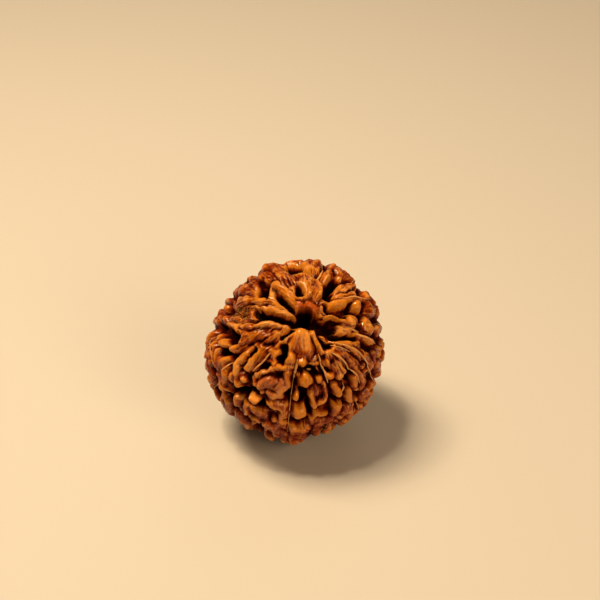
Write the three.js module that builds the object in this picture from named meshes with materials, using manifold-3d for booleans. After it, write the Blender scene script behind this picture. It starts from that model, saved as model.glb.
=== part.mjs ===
// A rudraksha bead: the stony seed case of the fruit, grown as one piece, with a cord hole through its axis.
// Millimetres, +Z up. The origin is the middle of the small worn spot that the bead rests on.
import * as THREE from "three";
import { mergeVertices } from "three/addons/utils/BufferGeometryUtils.js";
import Module from "manifold-3d";

// Driving dimensions
const BEAD_DIAMETER = 24; // over the tops of the warts
const DOME_RISE = 0.75; // how far a wart's middle stands above its shoulders
const RELIEF = 0.6; // from the floor of the gaps up to the shoulders of the ridges
const PIT_DEPTH = 0.7; // how far a pit goes below that floor
const MIDDLE_HEIGHT = 11.35; // the bead's middle above the surface it rests on
const REST_SPOT_RADIUS = 2.2; // the solid patch that is worn flat
const HOLE_RADIUS = 1.05;
const HOLE_SIDES = 14;
const MOUTH_RADIUS = 10.5; // the hole's mouth, from the bead's middle
const FUNNEL_DEPTH = 0.35; // each end of the hole lies in a shallow funnel
const FUNNEL_ANGLE = [6, 15]; // degrees from the axis, bottom and rim of the funnel
const SEAM_VALLEY = { depth: 0.3, halfWidth: 0.9 }; // each face of the bead swells between two seams
const LEAST_HALF_WIDTH = 0.4; // slimmer ridges are widened to this, which the facets can follow
const FACET_SPLITS = 23; // each icosahedron edge is split into one more than this
const EASING = 0.5; // share of its neighbours' height that a corner takes on
const EASING_ROUNDS = 2;

// The face is the side seen from VIEW_ELEVATION above the horizon, looking along +Y from VIEW_DISTANCE.
// Its map is in millimetres right of and above the bead's middle.
const VIEW_ELEVATION = 35;
const VIEW_DISTANCE = 200;
const HOLE_ON_FACE = [1.41, 4.7];
const OUTLINE_SHARE = 0.985; // of the ball's outline, past which the map runs on round the back
const DOME_ON_FACE = 0.7; // the map lies this share of a dome's rise above the shoulders

// Seams between the faces of the bead: degrees round the axis, to the right of the side nearest the viewer.
const SEAMS = [7, 37, 62, 86, 117, 150, 178, 208, 240, 284, 312, 334];

// Ridges and warts on the face: half width, share of the full rise, points along the crest.
const FACE_RIDGES = [
  // The smooth lobe in front of the hole, and the warts on its foot
  [0.5, 1.2, [[1.0, 3.0], [1.0, 2.0], [0.9, 0.8]]],
  [0.8, 1.0, [[0.8, 2.2], [0.2, 0.8]]],
  [0.8, 0.9, [[1.4, 2.2], [2.0, 0.5]]],
  [0.4, 1.0, [[2.5, 2.5], [3.1, 1.3], [3.8, 0.1]]],
  [0.6, 1.4, [[-0.4, -0.7]]],
  [0.48, 1.25, [[1.05, -1.35]]],
  [0.4, 0.75, [[0.4, -0.2], [1.3, -0.5]]],
  [0.3, 0.9, [[-2.4, 0.9], [-1.4, 1.5], [-0.7, 2.2]]],
  [0.28, 0.85, [[2.6, -1.0], [3.1, -0.7]]],
  [0.25, 0.85, [[2.2, -1.7], [3.2, -1.5]]],
  // Warts and webs below the lobe
  [0.42, 1.0, [[-0.9, -2.8]]],
  [0.34, 0.95, [[-0.9, -3.2], [-1.0, -4.6]]],
  [0.72, 1.05, [[1.5, -3.6], [1.5, -3.9]]],
  [0.29, 0.85, [[0.6, -3.0]]],
  [0.35, 0.95, [[-3.0, -1.1], [-2.6, -1.9], [-1.5, -2.2], [-0.3, -1.9]]],
  [0.38, 0.95, [[3.5, -3.7]]],
  [0.29, 0.95, [[3.9, -4.2], [4.4, -5.3], [4.2, -6.5], [3.3, -6.9]]],
  [0.32, 0.95, [[2.3, -5.6], [2.5, -6.6], [2.7, -7.3]]],
  [0.35, 1.05, [[0.4, -5.9], [0.2, -6.3]]],
  [0.85, 1.1, [[0.6, -8.2]]],
  [0.38, 0.95, [[-3.7, -7.0], [-2.5, -6.9], [-1.5, -7.2], [-1.4, -8.3], [-1.8, -9.3]]],
  [0.34, 1.0, [[-2.7, -9.0]]],
  [0.29, 0.9, [[2.2, -8.9], [3.0, -8.3], [4.3, -8.4]]],
  [0.8, 0.95, [[-0.2, -10.5], [1.2, -10.4]]],
  [0.8, 0.9, [[-3.3, -10.4], [-2.0, -10.8]]],
  [0.5, 0.85, [[3.2, -9.7], [4.6, -9.6]]],
  [0.5, 0.8, [[3.5, -10.5]]],
  [0.75, 0.9, [[-2.9, -9.9], [-1.4, -9.9]]],
  [0.7, 0.85, [[1.6, -11.0], [2.6, -10.4]]],
  [0.7, 0.9, [[-0.9, -11.3], [0.4, -11.2]]],
  // The broad worn lump at the front left
  [0.76, 1.0, [[-3.6, -3.9], [-2.2, -4.4]]],
  [0.42, 1.0, [[-1.4, -4.9], [-2.8, -5.9]]],
  [0.42, 1.0, [[-4.4, -4.2], [-4.6, -5.2]]],
  [0.5, 0.95, [[-3.4, -5.2], [-3.0, -5.6]]],
  [0.29, 0.95, [[-5.2, -3.2], [-4.5, -2.7], [-3.4, -2.4], [-2.6, -2.0]]],
  // Right side
  [0.5, 0.85, [[6.2, 3.0], [7.4, 2.8]]],
  [0.3, 1.0, [[8.2, 2.4], [9.4, 1.9], [10.3, 1.3]]],
  [0.55, 0.95, [[6.0, 1.1], [7.5, 0.4], [8.6, -0.3]]],
  [0.3, 0.9, [[8.3, 0.9]]],
  [0.45, 0.95, [[4.9, -0.1], [6.2, -0.4], [7.2, -0.3]]],
  [0.6, 1.0, [[9.4, -0.2], [10.1, -1.0], [10.3, -1.8]]],
  [0.34, 0.95, [[9.2, -1.9]]],
  [0.34, 0.9, [[8.3, -1.9], [8.8, -3.0], [9.2, -3.8]]],
  [0.46, 1.0, [[8.3, -3.6], [8.3, -4.4]]],
  [0.29, 0.95, [[8.6, -5.1]]],
  [0.45, 0.95, [[6.2, -1.2], [6.7, -2.3]]],
  [0.45, 1.0, [[4.5, -1.4]]],
  [0.42, 1.0, [[4.9, -3.3]]],
  [0.46, 0.95, [[6.1, -3.2]]],
  [0.38, 0.9, [[5.6, -2.2]]],
  [0.42, 1.0, [[5.3, -4.5], [6.0, -5.5]]],
  [0.34, 0.95, [[7.3, -5.1], [7.4, -6.5]]],
  [0.38, 0.95, [[10.3, -4.3], [9.7, -5.2], [9.2, -6.4]]],
  [0.29, 0.9, [[8.4, -6.4]]],
  [0.5, 0.95, [[5.8, -7.3], [5.5, -8.4]]],
  [0.5, 0.85, [[7.4, -8.0]]],
  [0.29, 0.85, [[8.2, -7.9]]],
  [0.38, 0.9, [[5.5, -9.5]]],
  [0.4, 0.9, [[7.6, -1.0], [8.3, -1.5]]],
  [0.4, 0.85, [[10.7, -0.2], [10.9, -1.4]]],
  [0.4, 0.85, [[7.6, 1.2], [8.8, 1.1]]],
  // Upper right
  [0.65, 1.05, [[4.4, 10.9], [4.6, 9.9]]],
  [0.55, 1.25, [[5.6, 13.0], [5.3, 11.5], [6.3, 10.6], [7.7, 9.6]]],
  [0.8, 1.0, [[6.2, 8.7], [7.6, 8.6]]],
  [0.5, 1.0, [[6.2, 7.6], [8.0, 7.8]]],
  [0.48, 1.15, [[5.6, 6.4], [6.7, 6.6]]],
  [0.5, 1.1, [[8.6, 6.5], [8.6, 6.1]]],
  [0.25, 0.9, [[6.9, 7.1], [8.4, 7.2], [9.8, 7.1]]],
  [0.65, 0.95, [[9.6, 7.8]]],
  [0.9, 1.0, [[10.3, 5.8]]],
  [0.5, 1.0, [[8.3, 5.1], [7.7, 4.3], [7.8, 3.7]]],
  [0.2, 1.0, [[4.3, 4.75], [5.1, 4.75], [6.1, 4.3], [7.4, 3.9]]],
  [0.65, 1.0, [[10.2, 3.2], [9.8, 4.2]]],
  // The plateau behind the hole and the lip of the hole
  [0.6, 0.95, [[-2.3, 10.5], [0.0, 10.3], [2.0, 10.1], [2.8, 9.6]]],
  [0.6, 0.85, [[-1.2, 9.3], [0.0, 8.3]]],
  [0.9, 1.0, [[2.5, 9.0], [2.6, 7.8]]],
  [0.5, 0.95, [[3.4, 9.2], [3.6, 8.0]]],
  [0.8, 1.0, [[1.4, 11.5], [2.7, 11.5]]],
  [0.6, 1.05, [[3.1, 11.8], [3.4, 13.0], [4.2, 15.6]]],
  [0.5, 1.0, [[-2.6, 9.2], [-1.5, 8.5], [-0.5, 7.7], [0.2, 7.0]]],
  [0.4, 0.65, [[-2.6, 9.2], [-3.2, 8.7], [-3.1, 7.6], [-2.6, 6.9]]],
  [0.4, 0.9, [[0.1, 7.3], [0.9, 7.2], [1.6, 7.3]]],
  [0.55, 1.1, [[0.9, 6.6], [1.0, 6.3]]],
  [0.75, 1.05, [[2.0, 6.5], [2.5, 5.9]]],
  [0.22, 0.6, [[3.3, 6.9], [3.4, 5.9], [3.8, 5.2]]],
  [0.6, 0.6, [[4.1, 7.0], [4.3, 6.0]]],
  // Upper left
  [0.5, 0.9, [[-4.3, 10.4], [-3.4, 9.9]]],
  [0.55, 1.1, [[-3.8, 11.2], [-4.1, 12.2], [-5.0, 15.0]]],
  [0.45, 0.9, [[-5.3, 9.2], [-5.0, 8.6]]],
  [0.4, 1.0, [[-5.3, 10.2], [-5.9, 11.2], [-7.6, 13.8]]],
  [1.0, 1.0, [[-6.7, 8.4], [-7.2, 9.0], [-9.6, 11.6]]],
  [0.4, 1.0, [[-5.0, 7.8], [-6.4, 7.3], [-7.6, 7.1]]],
  [0.45, 1.0, [[-4.2, 6.8], [-5.5, 7.0], [-7.0, 6.8], [-8.3, 6.4]]],
  [0.55, 0.9, [[-9.2, 6.1]]],
  [0.5, 0.9, [[-9.8, 4.5]]],
  [0.7, 0.5, [[-8.0, 5.3], [-6.2, 5.2]]],
  [0.35, 1.0, [[-4.2, 6.0], [-2.4, 5.6], [-0.9, 5.2], [-0.3, 5.0]]],
  [0.3, 0.95, [[-3.3, 6.9], [-2.2, 6.2], [-1.0, 5.7]]],
  // Left side
  [0.34, 0.9, [[-5.6, -3.6], [-5.4, -4.3]]],
  [0.4, 0.9, [[-8.6, 4.6], [-6.6, 4.3]]],
  [0.38, 0.9, [[-8.4, -3.2], [-8.6, -3.6]]],
  [0.4, 0.9, [[-10.7, 0.8], [-10.9, -0.6]]],
  [0.45, 1.0, [[-9.0, 3.7], [-7.0, 3.4], [-5.0, 3.4], [-3.6, 3.8], [-2.2, 3.4], [-0.6, 3.3]]],
  [0.8, 0.95, [[-6.4, 2.2], [-4.2, 2.3], [-2.6, 2.5]]],
  [0.18, 0.9, [[-9.2, 2.1], [-8.2, 2.6], [-7.2, 3.1]]],
  [0.5, 0.95, [[-10.4, 2.2]]],
  [0.45, 0.95, [[-9.7, 1.4]]],
  [0.4, 1.0, [[-9.6, 0.8], [-8.3, 0.5], [-7.2, 1.2], [-6.4, 1.6]]],
  [0.42, 1.0, [[-9.6, -0.8], [-9.5, -2.0], [-9.4, -3.2]]],
  [0.38, 1.0, [[-6.3, -0.1], [-7.1, -0.7], [-7.8, -1.5], [-7.9, -2.6], [-7.6, -4.3]]],
  [0.45, 1.0, [[-4.3, 0.7], [-5.0, -0.3], [-5.8, -1.2], [-6.2, -2.1]]],
  [0.4, 0.95, [[-3.6, 0.3], [-4.4, -0.8], [-5.4, -1.9]]],
  [0.6, 0.95, [[-3.2, 0.4], [-2.6, -0.5]]],
  [0.42, 1.0, [[-6.9, -3.7]]],
  [0.3, 0.9, [[-10.4, 0.3], [-10.5, -1.6]]],
  [0.5, 0.95, [[-10.2, -3.2], [-9.8, -4.6]]],
  [0.42, 0.95, [[-9.3, -3.2]]],
  [0.55, 0.95, [[-7.7, -6.0], [-7.7, -7.0]]],
  [0.34, 0.9, [[-6.6, -6.8], [-6.5, -8.2]]],
  [0.59, 0.9, [[-7.7, -8.4]]],
  [0.42, 0.9, [[-9.6, -6.3], [-9.2, -7.3]]],
  [0.42, 1.0, [[-5.9, -6.0], [-4.9, -6.7]]],
  [0.21, 0.95, [[-5.9, -8.8], [-4.9, -9.0], [-4.2, -9.9]]],
];

// Broad plates that tie ridges of the face together: half width, share of the full rise, points.
const FACE_PLATES = [
  [1.1, 1.15, [[-3.0, 10.9], [-1.0, 10.1], [1.4, 9.5], [2.5, 8.4]]],
  [0.9, 1.2, [[-3.6, 11.4], [-1.4, 11.4]]],
  [1.1, 0.9, [[-6.9, 8.3], [-5.4, 7.6]]],
  [0.9, 0.85, [[-7.8, 6.4], [-5.2, 6.6], [-2.6, 6.0]]],
  [1.1, 0.85, [[-6.8, 2.5], [-4.4, 2.8], [-2.0, 3.1]]],
  [0.8, 0.8, [[-5.0, 1.1], [-2.6, 1.6]]],
  [1.1, 1.25, [[5.6, 11.0], [7.6, 9.2]]],
  [1.0, 0.9, [[6.6, 8.4], [7.8, 8.2]]],
  [0.9, 1.2, [[1.4, 11.6], [3.0, 11.5]]],
  [0.9, 0.8, [[7.9, 4.4], [7.0, 3.2]]],
  [1.2, 0.85, [[10.2, 6.2], [10.0, 3.6]]],
  [0.9, 0.85, [[5.6, 0.6], [7.6, -0.1], [8.4, -1.2]]],
  [0.8, 0.8, [[4.6, -0.8], [5.4, -1.8], [6.2, -2.4]]],
  [1.4, 1.25, [[1.0, 1.8], [1.2, 0.4]]],
  [0.9, 0.85, [[-3.4, -1.0], [-2.4, -0.6]]],
  [1.2, 0.85, [[-3.6, -3.4], [-2.4, -5.4]]],
  [0.8, 0.85, [[-9.8, -3.6], [-10.2, -1.4]]],
  [0.8, 0.85, [[-7.6, 0.6], [-6.2, 0.7]]],
  [0.8, 0.9, [[-4.2, 0.2], [-5.6, -1.7]]],
  [0.8, 0.9, [[-11.3, 1.4], [-11.5, -1.0], [-11.1, -3.2]]],
  [1.3, 1.35, [[-3.5, -9.6], [-2.4, -10.4], [-1.2, -11.2], [0.0, -11.8]]],
  [1.2, 1.35, [[-0.4, -10.3], [1.4, -10.2]]],
  [0.7, 1.2, [[-2.6, -6.9], [-1.6, -7.3], [-1.5, -8.4], [-1.8, -9.6]]],
  [1.0, 0.5, [[3.3, -5.3]]],
  [0.9, 0.6, [[-5.4, -7.8], [-4.2, -8.7]]],
  [0.9, 0.7, [[6.6, -8.6], [7.6, -7.4]]],
  [0.8, 0.7, [[-7.2, -7.6]]],
  [0.9, 0.7, [[2.8, -9.4], [4.6, -9.6]]],
  [0.8, 0.7, [[9.4, -4.6], [9.6, -2.8]]],
  [0.8, 0.7, [[-9.4, -5.4], [-9.2, -6.8]]],
  [0.7, 0.6, [[-8.4, -3.6], [-7.2, -3.2]]],
];

// Pits and clefts that cut into the ridges of the face: half width, points.
const FACE_PITS = [
  [0.5, [[-4.0, 8.9], [-4.2, 7.8]]],
  [0.28, [[-5.3, 5.5], [-3.8, 5.1], [-2.2, 4.7], [-0.6, 4.3]]],
  [0.4, [[-5.0, 4.6]]],
  [0.36, [[-2.1, 7.7], [-1.3, 6.9], [-0.4, 6.0]]],
  [0.45, [[0.7, 8.7], [0.7, 7.9]]],
  [0.42, [[-0.2, 11.2], [0.8, 11.1]]],
  [0.28, [[0.8, 11.0], [2.2, 10.5], [3.1, 10.1]]],
  [0.5, [[5.6, 9.7], [4.8, 8.9], [4.7, 7.7]]],
  [0.38, [[5.2, 5.4], [6.3, 5.0], [7.0, 4.8]]],
  [0.35, [[7.5, 6.3], [7.8, 5.6], [8.5, 5.2]]],
  [0.3, [[4.3, 6.4], [4.6, 5.8]]],
  [0.2, [[8.7, 7.7]]],
  [0.4, [[9.1, 4.8]]],
  [0.75, [[5.0, 3.0]]],
  [0.3, [[5.7, 1.9], [7.0, 2.0], [8.4, 1.8]]],
  [0.4, [[9.6, 0.6]]],
  [0.4, [[5.0, 0.8]]],
  [0.35, [[3.2, 3.2], [3.6, 2.1], [4.3, 0.6]]],
  [0.25, [[11.0, 2.6]]],
  [0.45, [[-9.6, 2.7], [-8.8, 2.5]]],
  [0.5, [[-8.6, 1.7], [-7.8, 1.8]]],
  [0.35, [[-9.9, 0.1], [-9.3, 0.1], [-8.6, -0.7]]],
  [0.25, [[-8.5, -1.3], [-8.8, -2.4]]],
  [0.35, [[-5.2, 0.4], [-5.8, -0.4]]],
  [0.35, [[-6.3, -0.9], [-6.8, -1.6], [-6.9, -2.6]]],
  [0.4, [[-4.4, -2.0], [-3.7, -1.8]]],
  [0.2, [[-3.8, -3.3]]],
  [0.2, [[-4.0, 1.1], [-3.0, 1.1]]],
  [0.25, [[-1.7, 2.0], [-0.9, 2.4], [-0.3, 3.0]]],
  [0.5, [[-1.4, 0.6], [-1.3, -0.4], [-1.8, -1.0]]],
  [0.45, [[2.0, -2.2], [2.8, -2.8]]],
  [0.35, [[7.4, -2.5], [7.4, -3.6]]],
  [0.25, [[5.1, -1.2]]],
  [0.35, [[9.7, -3.3]]],
  [0.2, [[10.4, -2.7]]],
  [0.4, [[-8.7, -4.1], [-8.3, -5.0], [-7.1, -5.3]]],
  [0.45, [[-5.9, -5.2], [-5.2, -5.3]]],
  [0.28, [[-9.1, -5.8], [-8.6, -6.6]]],
  [0.28, [[-6.6, -5.8], [-6.4, -6.6], [-5.7, -7.2], [-4.7, -7.4]]],
  [0.4, [[-4.2, -6.9], [-3.6, -7.7], [-2.4, -7.9]]],
  [0.45, [[-5.7, -9.2], [-4.7, -9.9]]],
  [0.45, [[-1.0, -6.0]]],
  [0.3, [[-0.5, -6.95], [0.9, -6.9]]],
  [0.5, [[1.2, -5.3], [1.4, -6.3]]],
  [0.35, [[1.9, -7.3], [2.2, -8.4]]],
  [0.28, [[-1.1, -9.3], [-0.4, -9.6], [0.7, -9.6], [1.5, -9.1]]],
  [0.4, [[3.3, -7.6], [4.6, -7.3], [5.2, -6.5], [6.5, -6.4]]],
  [0.3, [[6.3, -8.7]]],
  [0.25, [[6.9, -7.1]]],
  [0.3, [[8.4, -5.6]]],
  [0.4, [[-1.5, 4.2], [0.0, 3.9], [2.0, 3.8], [3.0, 3.5]]],
  [0.68, [[0.9, 4.6], [1.9, 4.6]]],
  [0.42, [[2.7, 5.0], [3.3, 4.2], [4.0, 3.5]]],
];

// Gaps that run over the edge of the face: half width, depth, points.
const EDGE_GAPS = [
  [0.35, 0.5, [[4.0, 11.1], [4.4, 11.8], [6.0, 16.0]]],
  [0.45, 0.55, [[8.6, 7.9], [9.2, 8.6], [12.0, 11.4]]],
  [0.5, 0.9, [[-4.7, 10.6], [-5.2, 11.3], [-7.6, 14.6]]],
  [0.45, 0.8, [[-6.1, 9.3], [-6.7, 10.0], [-9.6, 13.2]]],
  [0.45, 0.7, [[-7.9, 7.5], [-8.6, 7.9], [-12.4, 10.8]]],
  [0.4, 0.5, [[-9.5, 5.3], [-10.2, 5.4], [-15.0, 7.0]]],
  [0.7, 1.1, [[-9.8, 3.7], [-10.8, 3.6], [-15.6, 4.6]]],
  [0.4, 0.5, [[10.6, 4.4], [11.4, 4.5], [15.0, 5.6]]],
  [0.4, 0.5, [[11.0, 2.4], [12.0, 2.3], [15.6, 3.0]]],
  [0.7, 1.3, [[-4.4, -9.8], [-4.8, -10.8], [-6.6, -15.0]]],
  [0.5, 0.8, [[1.9, -10.6], [2.1, -11.6], [2.8, -15.6]]],
  [0.5, 0.7, [[5.4, -9.6], [5.8, -10.4], [8.4, -14.0]]],
];

// Broad swells and hollows of the body: height, half width, point of the face map.
const BODY_SWELLS = [
  [0.6, 5.5, [6.5, 10.0]],
  [0.45, 3.5, [10.6, 6.2]],
  [-1.05, 4.5, [-8.9, 7.0]],
  [0.4, 1.6, [3.2, 12.4]],
  [0.4, 1.6, [-3.8, 12.0]],
  [0.35, 1.3, [-7.1, 8.9]],
  [-0.5, 1.5, [-9.0, 7.0]],
  [-0.3, 1.2, [-5.6, 10.8]],
  [-0.6, 2.0, [-10.8, 3.4]],
  [0.3, 3.0, [-0.8, -12.4]],
  [-1.0, 1.7, [-4.5, -10.6]],
  [-0.6, 3.5, [4.6, -11.0]],
  [-0.25, 3.0, [11.2, -3.0]],
  [-0.2, 3.0, [10.2, -6.8]],
];

// Wild ridges cover the sides that the face doesn't show, laid by a rule.
const WILD_COUNT = 430;
const WILD_SEED = 20261;
const WILD_HALF_WIDTH = [0.34, 0.6];
const WILD_RISE = [0.85, 1.02];
const WILD_HALF_LENGTH = [0.1, 1.05];
const WILD_SEAM_GAP = 0.32; // clear of the seam's middle line
const WILD_JITTER = 0.75; // of the mean spacing
const WILD_FACE_LIMIT = 0.36; // cosine of the angle from the view beyond which ridges are wild
const RADIAL_ZONE = 32; // degrees from either end of the axis where ridges run towards the hole
const RADIAL_STRAY = 0.25; // share of a free heading that is left to the ridges there

// How ridge strength turns into height: a ridge's strength falls from 1 at its crest as a bell curve.
const FOOT_SPREAD = 1.4; // a ridge's foot is this much wider than its crest
const PIT_SPREAD = 1.25; // and a pit's mouth is this much wider than its floor
const BELL = 1.4;
const SHOULDER = [0.03, 0.8]; // strengths at the foot and the shoulder of a ridge
const PIT_EDGE = [0.2, 0.75]; // strengths at the rim and the floor of a pit
const DOME_REACH = 1.1; // from the crest to the foot of its dome, as a share of the ridge's foot
const DOME_POWER = 2.6; // a dome falls by this power of the distance from its crest, so its top is broad
const PLATE_CAP = 0.7; // how far a plate rises above its shoulders, as a share of a wart's dome
const PLATE_EDGE = [0.5, 1.4]; // half widths from a plate's line to the edge and the foot of its cap

const CREST_RADIUS = BEAD_DIAMETER / 2 - DOME_RISE;
const FLOOR_RADIUS = CREST_RADIUS - RELIEF;
const FACE_RADIUS = CREST_RADIUS + DOME_ON_FACE * DOME_RISE;
const DEGREE = Math.PI / 180;
const GOLDEN_ANGLE = Math.PI * (3 - Math.sqrt(5));
const DRAW_MULTIPLIER = 48271;
const DRAW_MODULUS = 2147483647;
const smoothstep = (edges, x) => THREE.MathUtils.smoothstep(x, edges[0], edges[1]);

// The view's own directions, and the bead's axis and the two directions that longitudes are measured from.
const elevation = VIEW_ELEVATION * DEGREE;
const toViewer = new THREE.Vector3(0, -Math.cos(elevation), Math.sin(elevation));
const viewUp = new THREE.Vector3(0, Math.sin(elevation), Math.cos(elevation));
const viewRight = new THREE.Vector3(1, 0, 0);
const axis = facePoint(HOLE_ON_FACE, MOUTH_RADIUS);
const front = toViewer.clone().addScaledVector(axis, -toViewer.dot(axis)).normalize();
const side = axis.clone().cross(front);

// Direction from the bead's middle to the point of a ball that shows at a point of the face map.
// Past the ball's outline the map runs on round the back, a millimetre for a millimetre.
function facePoint([x, y], radius) {
  const outline = (OUTLINE_SHARE * radius) / Math.sqrt(1 - (radius / VIEW_DISTANCE) ** 2);
  const reached = Math.hypot(x, y);
  const inside = Math.min(1, outline / reached);
  const beyond = Math.max(0, reached - outline) / radius;
  const eye = toViewer.clone().multiplyScalar(VIEW_DISTANCE);
  const ray = viewRight.clone().multiplyScalar(x * inside).addScaledVector(viewUp, y * inside).sub(eye);
  const a = ray.lengthSq();
  const b = eye.dot(ray);
  const c = VIEW_DISTANCE ** 2 - radius ** 2;
  const met = eye.addScaledVector(ray, (-b - Math.sqrt(b * b - a * c)) / a).normalize();
  return met.applyAxisAngle(toViewer.clone().cross(met).normalize(), beyond);
}

// Direction at a longitude and an angle from the axis, both in radians.
function beadPoint(longitude, angle) {
  return axis
    .clone()
    .multiplyScalar(Math.cos(angle))
    .addScaledVector(front, Math.sin(angle) * Math.cos(longitude))
    .addScaledVector(side, Math.sin(angle) * Math.sin(longitude));
}

// The same sequence of numbers from 0 to 1 for the same seed, by the minimal standard generator.
function seededDraws(seed) {
  let state = seed;
  return (low, high) => {
    state = (state * DRAW_MULTIPLIER) % DRAW_MODULUS;
    return low + ((high - low) * state) / DRAW_MODULUS;
  };
}

// Longitude moved sideways, if need be, so that it stands clear of the nearest seam by a given angle.
function clearOfSeams(longitude, clearance) {
  for (const seam of SEAMS) {
    const gap = Math.atan2(Math.sin(longitude - seam * DEGREE), Math.cos(longitude - seam * DEGREE));
    if (Math.abs(gap) < clearance) return seam * DEGREE + Math.sign(gap) * clearance;
  }
  return longitude;
}

// Ridges by rule: a spiral of evenly spread points, each jittered, kept off the seams and drawn out
// into a short ridge, which points at the hole near the ends of the axis and any way elsewhere.
function wildRidges() {
  const draw = seededDraws(WILD_SEED);
  const spacing = Math.sqrt((4 * Math.PI) / WILD_COUNT);
  const ridges = [];
  for (let i = 0; i < WILD_COUNT; i++) {
    const angle = Math.acos(1 - (2 * i + 1) / WILD_COUNT) + spacing * WILD_JITTER * draw(-0.5, 0.5);
    const round = CREST_RADIUS * Math.sin(angle);
    const turn = i * GOLDEN_ANGLE + ((spacing * WILD_JITTER) / Math.sin(angle)) * draw(-0.5, 0.5);
    const halfWidth = draw(...WILD_HALF_WIDTH);
    const rise = draw(...WILD_RISE);
    const halfLength = draw(...WILD_HALF_LENGTH);
    const anyHeading = draw(0, Math.PI);
    const fromEnd = Math.min(angle, Math.PI - angle);
    const nearEnd = fromEnd < RADIAL_ZONE * DEGREE;
    const heading = nearEnd ? RADIAL_STRAY * (anyHeading - Math.PI / 2) : anyHeading;
    const clearance = (halfWidth + WILD_SEAM_GAP) / round;
    const ends = [-halfLength, halfLength].map((along) => {
      const endAngle = angle + (along * Math.cos(heading)) / CREST_RADIUS;
      const endTurn = turn + (along * Math.sin(heading)) / round;
      return beadPoint(clearOfSeams(endTurn, clearance), endAngle);
    });
    const faced = ends[0].clone().add(ends[1]).normalize().dot(toViewer);
    if (faced < WILD_FACE_LIMIT) ridges.push({ halfWidth, rise, crest: ends });
  }
  return ridges;
}

const nearest = new THREE.Vector3();
const stretch = new THREE.Line3();

// Distance in half widths from a direction to a line of directions, measured on the crest ball.
function distanceTo({ halfWidth, crest }, direction) {
  let least = direction.distanceTo(crest[0]);
  for (let i = 1; i < crest.length; i++) {
    stretch.set(crest[i - 1], crest[i]).closestPointToPoint(direction, true, nearest);
    least = Math.min(least, direction.distanceTo(nearest));
  }
  return (least * CREST_RADIUS) / halfWidth;
}

const swells = BODY_SWELLS.map(([rise, halfWidth, point]) => ({
  rise,
  halfWidth,
  crest: [facePoint(point, FACE_RADIUS)],
}));

// How far the body departs from a ball: the sum of wide bell curves.
function bodySwell(direction) {
  let swell = 0;
  for (const broad of swells) swell += broad.rise * Math.exp(-(distanceTo(broad, direction) ** 2));
  return swell;
}

// Directions to points of the face map, on the swollen body at the height of the crests.
function faceLine(points) {
  return points.map((point) => facePoint(point, FACE_RADIUS + bodySwell(facePoint(point, FACE_RADIUS))));
}

const spread = (halfWidth, share) => share * Math.max(halfWidth, LEAST_HALF_WIDTH);
const restSpot = { halfWidth: REST_SPOT_RADIUS, rise: 1, crest: [new THREE.Vector3(0, 0, -1)] };
const placed = ([halfWidth, rise, points]) => ({ halfWidth, rise, crest: faceLine(points) });
const faceRidges = FACE_RIDGES.map(placed);
const ridges = [...faceRidges, ...wildRidges(), restSpot].map((ridge) => ({
  ...ridge,
  halfWidth: spread(ridge.halfWidth, FOOT_SPREAD),
}));
const plates = FACE_PLATES.map(placed);
const pits = FACE_PITS.map(([halfWidth, points]) => ({
  halfWidth: spread(halfWidth, PIT_SPREAD),
  crest: faceLine(points),
}));

const edgeGaps = EDGE_GAPS.map(([halfWidth, depth, points]) => ({
  halfWidth: Math.max(halfWidth, LEAST_HALF_WIDTH),
  depth,
  crest: faceLine(points),
}));

// How far the bead's body is drawn in near the seams and in the funnels at the ends of the hole.
function bodyDip(direction) {
  const upright = THREE.MathUtils.clamp(direction.dot(axis), -1, 1);
  const fromEnd = Math.acos(Math.abs(upright)) / DEGREE;
  const longitude = Math.atan2(direction.dot(side), direction.dot(front));
  const round = CREST_RADIUS * Math.sqrt(1 - upright * upright);
  const toSeams = SEAMS.map((seam) => 2 * round * Math.abs(Math.sin((longitude - seam * DEGREE) / 2)));
  const toSeam = Math.min(...toSeams);
  const valley = SEAM_VALLEY.depth * Math.exp(-((toSeam / SEAM_VALLEY.halfWidth) ** 2));
  return valley + FUNNEL_DEPTH * (1 - smoothstep(FUNNEL_ANGLE, fromEnd));
}

// Distance from the bead's middle to its surface: ridges and plates merge where their strengths add up,
// each keeps a dome or cap of its own, gaps notch the edge, and pits sink through them all.
function surfaceRadius(direction) {
  let strength = 0;
  let lift = 0;
  let dome = 0;
  for (const ridge of ridges) {
    const away = distanceTo(ridge, direction);
    const bell = Math.exp(-BELL * away * away);
    strength += bell;
    lift += bell * ridge.rise;
    dome = Math.max(dome, ridge.rise * (1 - (away / DOME_REACH) ** DOME_POWER));
  }
  for (const plate of plates) {
    const away = distanceTo(plate, direction);
    const bell = Math.exp(-BELL * away * away);
    strength += bell;
    lift += bell * plate.rise;
    dome = Math.max(dome, PLATE_CAP * plate.rise * (1 - smoothstep(PLATE_EDGE, away)));
  }
  let sunk = 0;
  for (const pit of pits) sunk += Math.exp(-BELL * distanceTo(pit, direction) ** 2);
  let risen = RELIEF * smoothstep(SHOULDER, strength) * (lift / strength) + DOME_RISE * dome;
  for (const gap of edgeGaps) risen -= gap.depth * Math.exp(-(distanceTo(gap, direction) ** 2));
  const pitted = THREE.MathUtils.lerp(risen, -PIT_DEPTH, smoothstep(PIT_EDGE, sunk));
  return FLOOR_RADIUS + pitted + bodySwell(direction) - bodyDip(direction);
}

// Corner radii eased towards the mean of their neighbours', since the finest relief outruns the facets.
function easedRadii(radii, triangles) {
  const sums = new Float64Array(radii.length);
  const counts = new Float64Array(radii.length);
  for (let i = 0; i < triangles.length; i += 3) {
    const [a, b, c] = triangles.slice(i, i + 3);
    for (const [corner, neighbour] of [[a, b], [b, c], [c, a]]) {
      sums[corner] += radii[neighbour];
      counts[corner] += 1;
    }
  }
  return radii.map((radius, i) => THREE.MathUtils.lerp(radius, sums[i] / counts[i], EASING));
}

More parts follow.
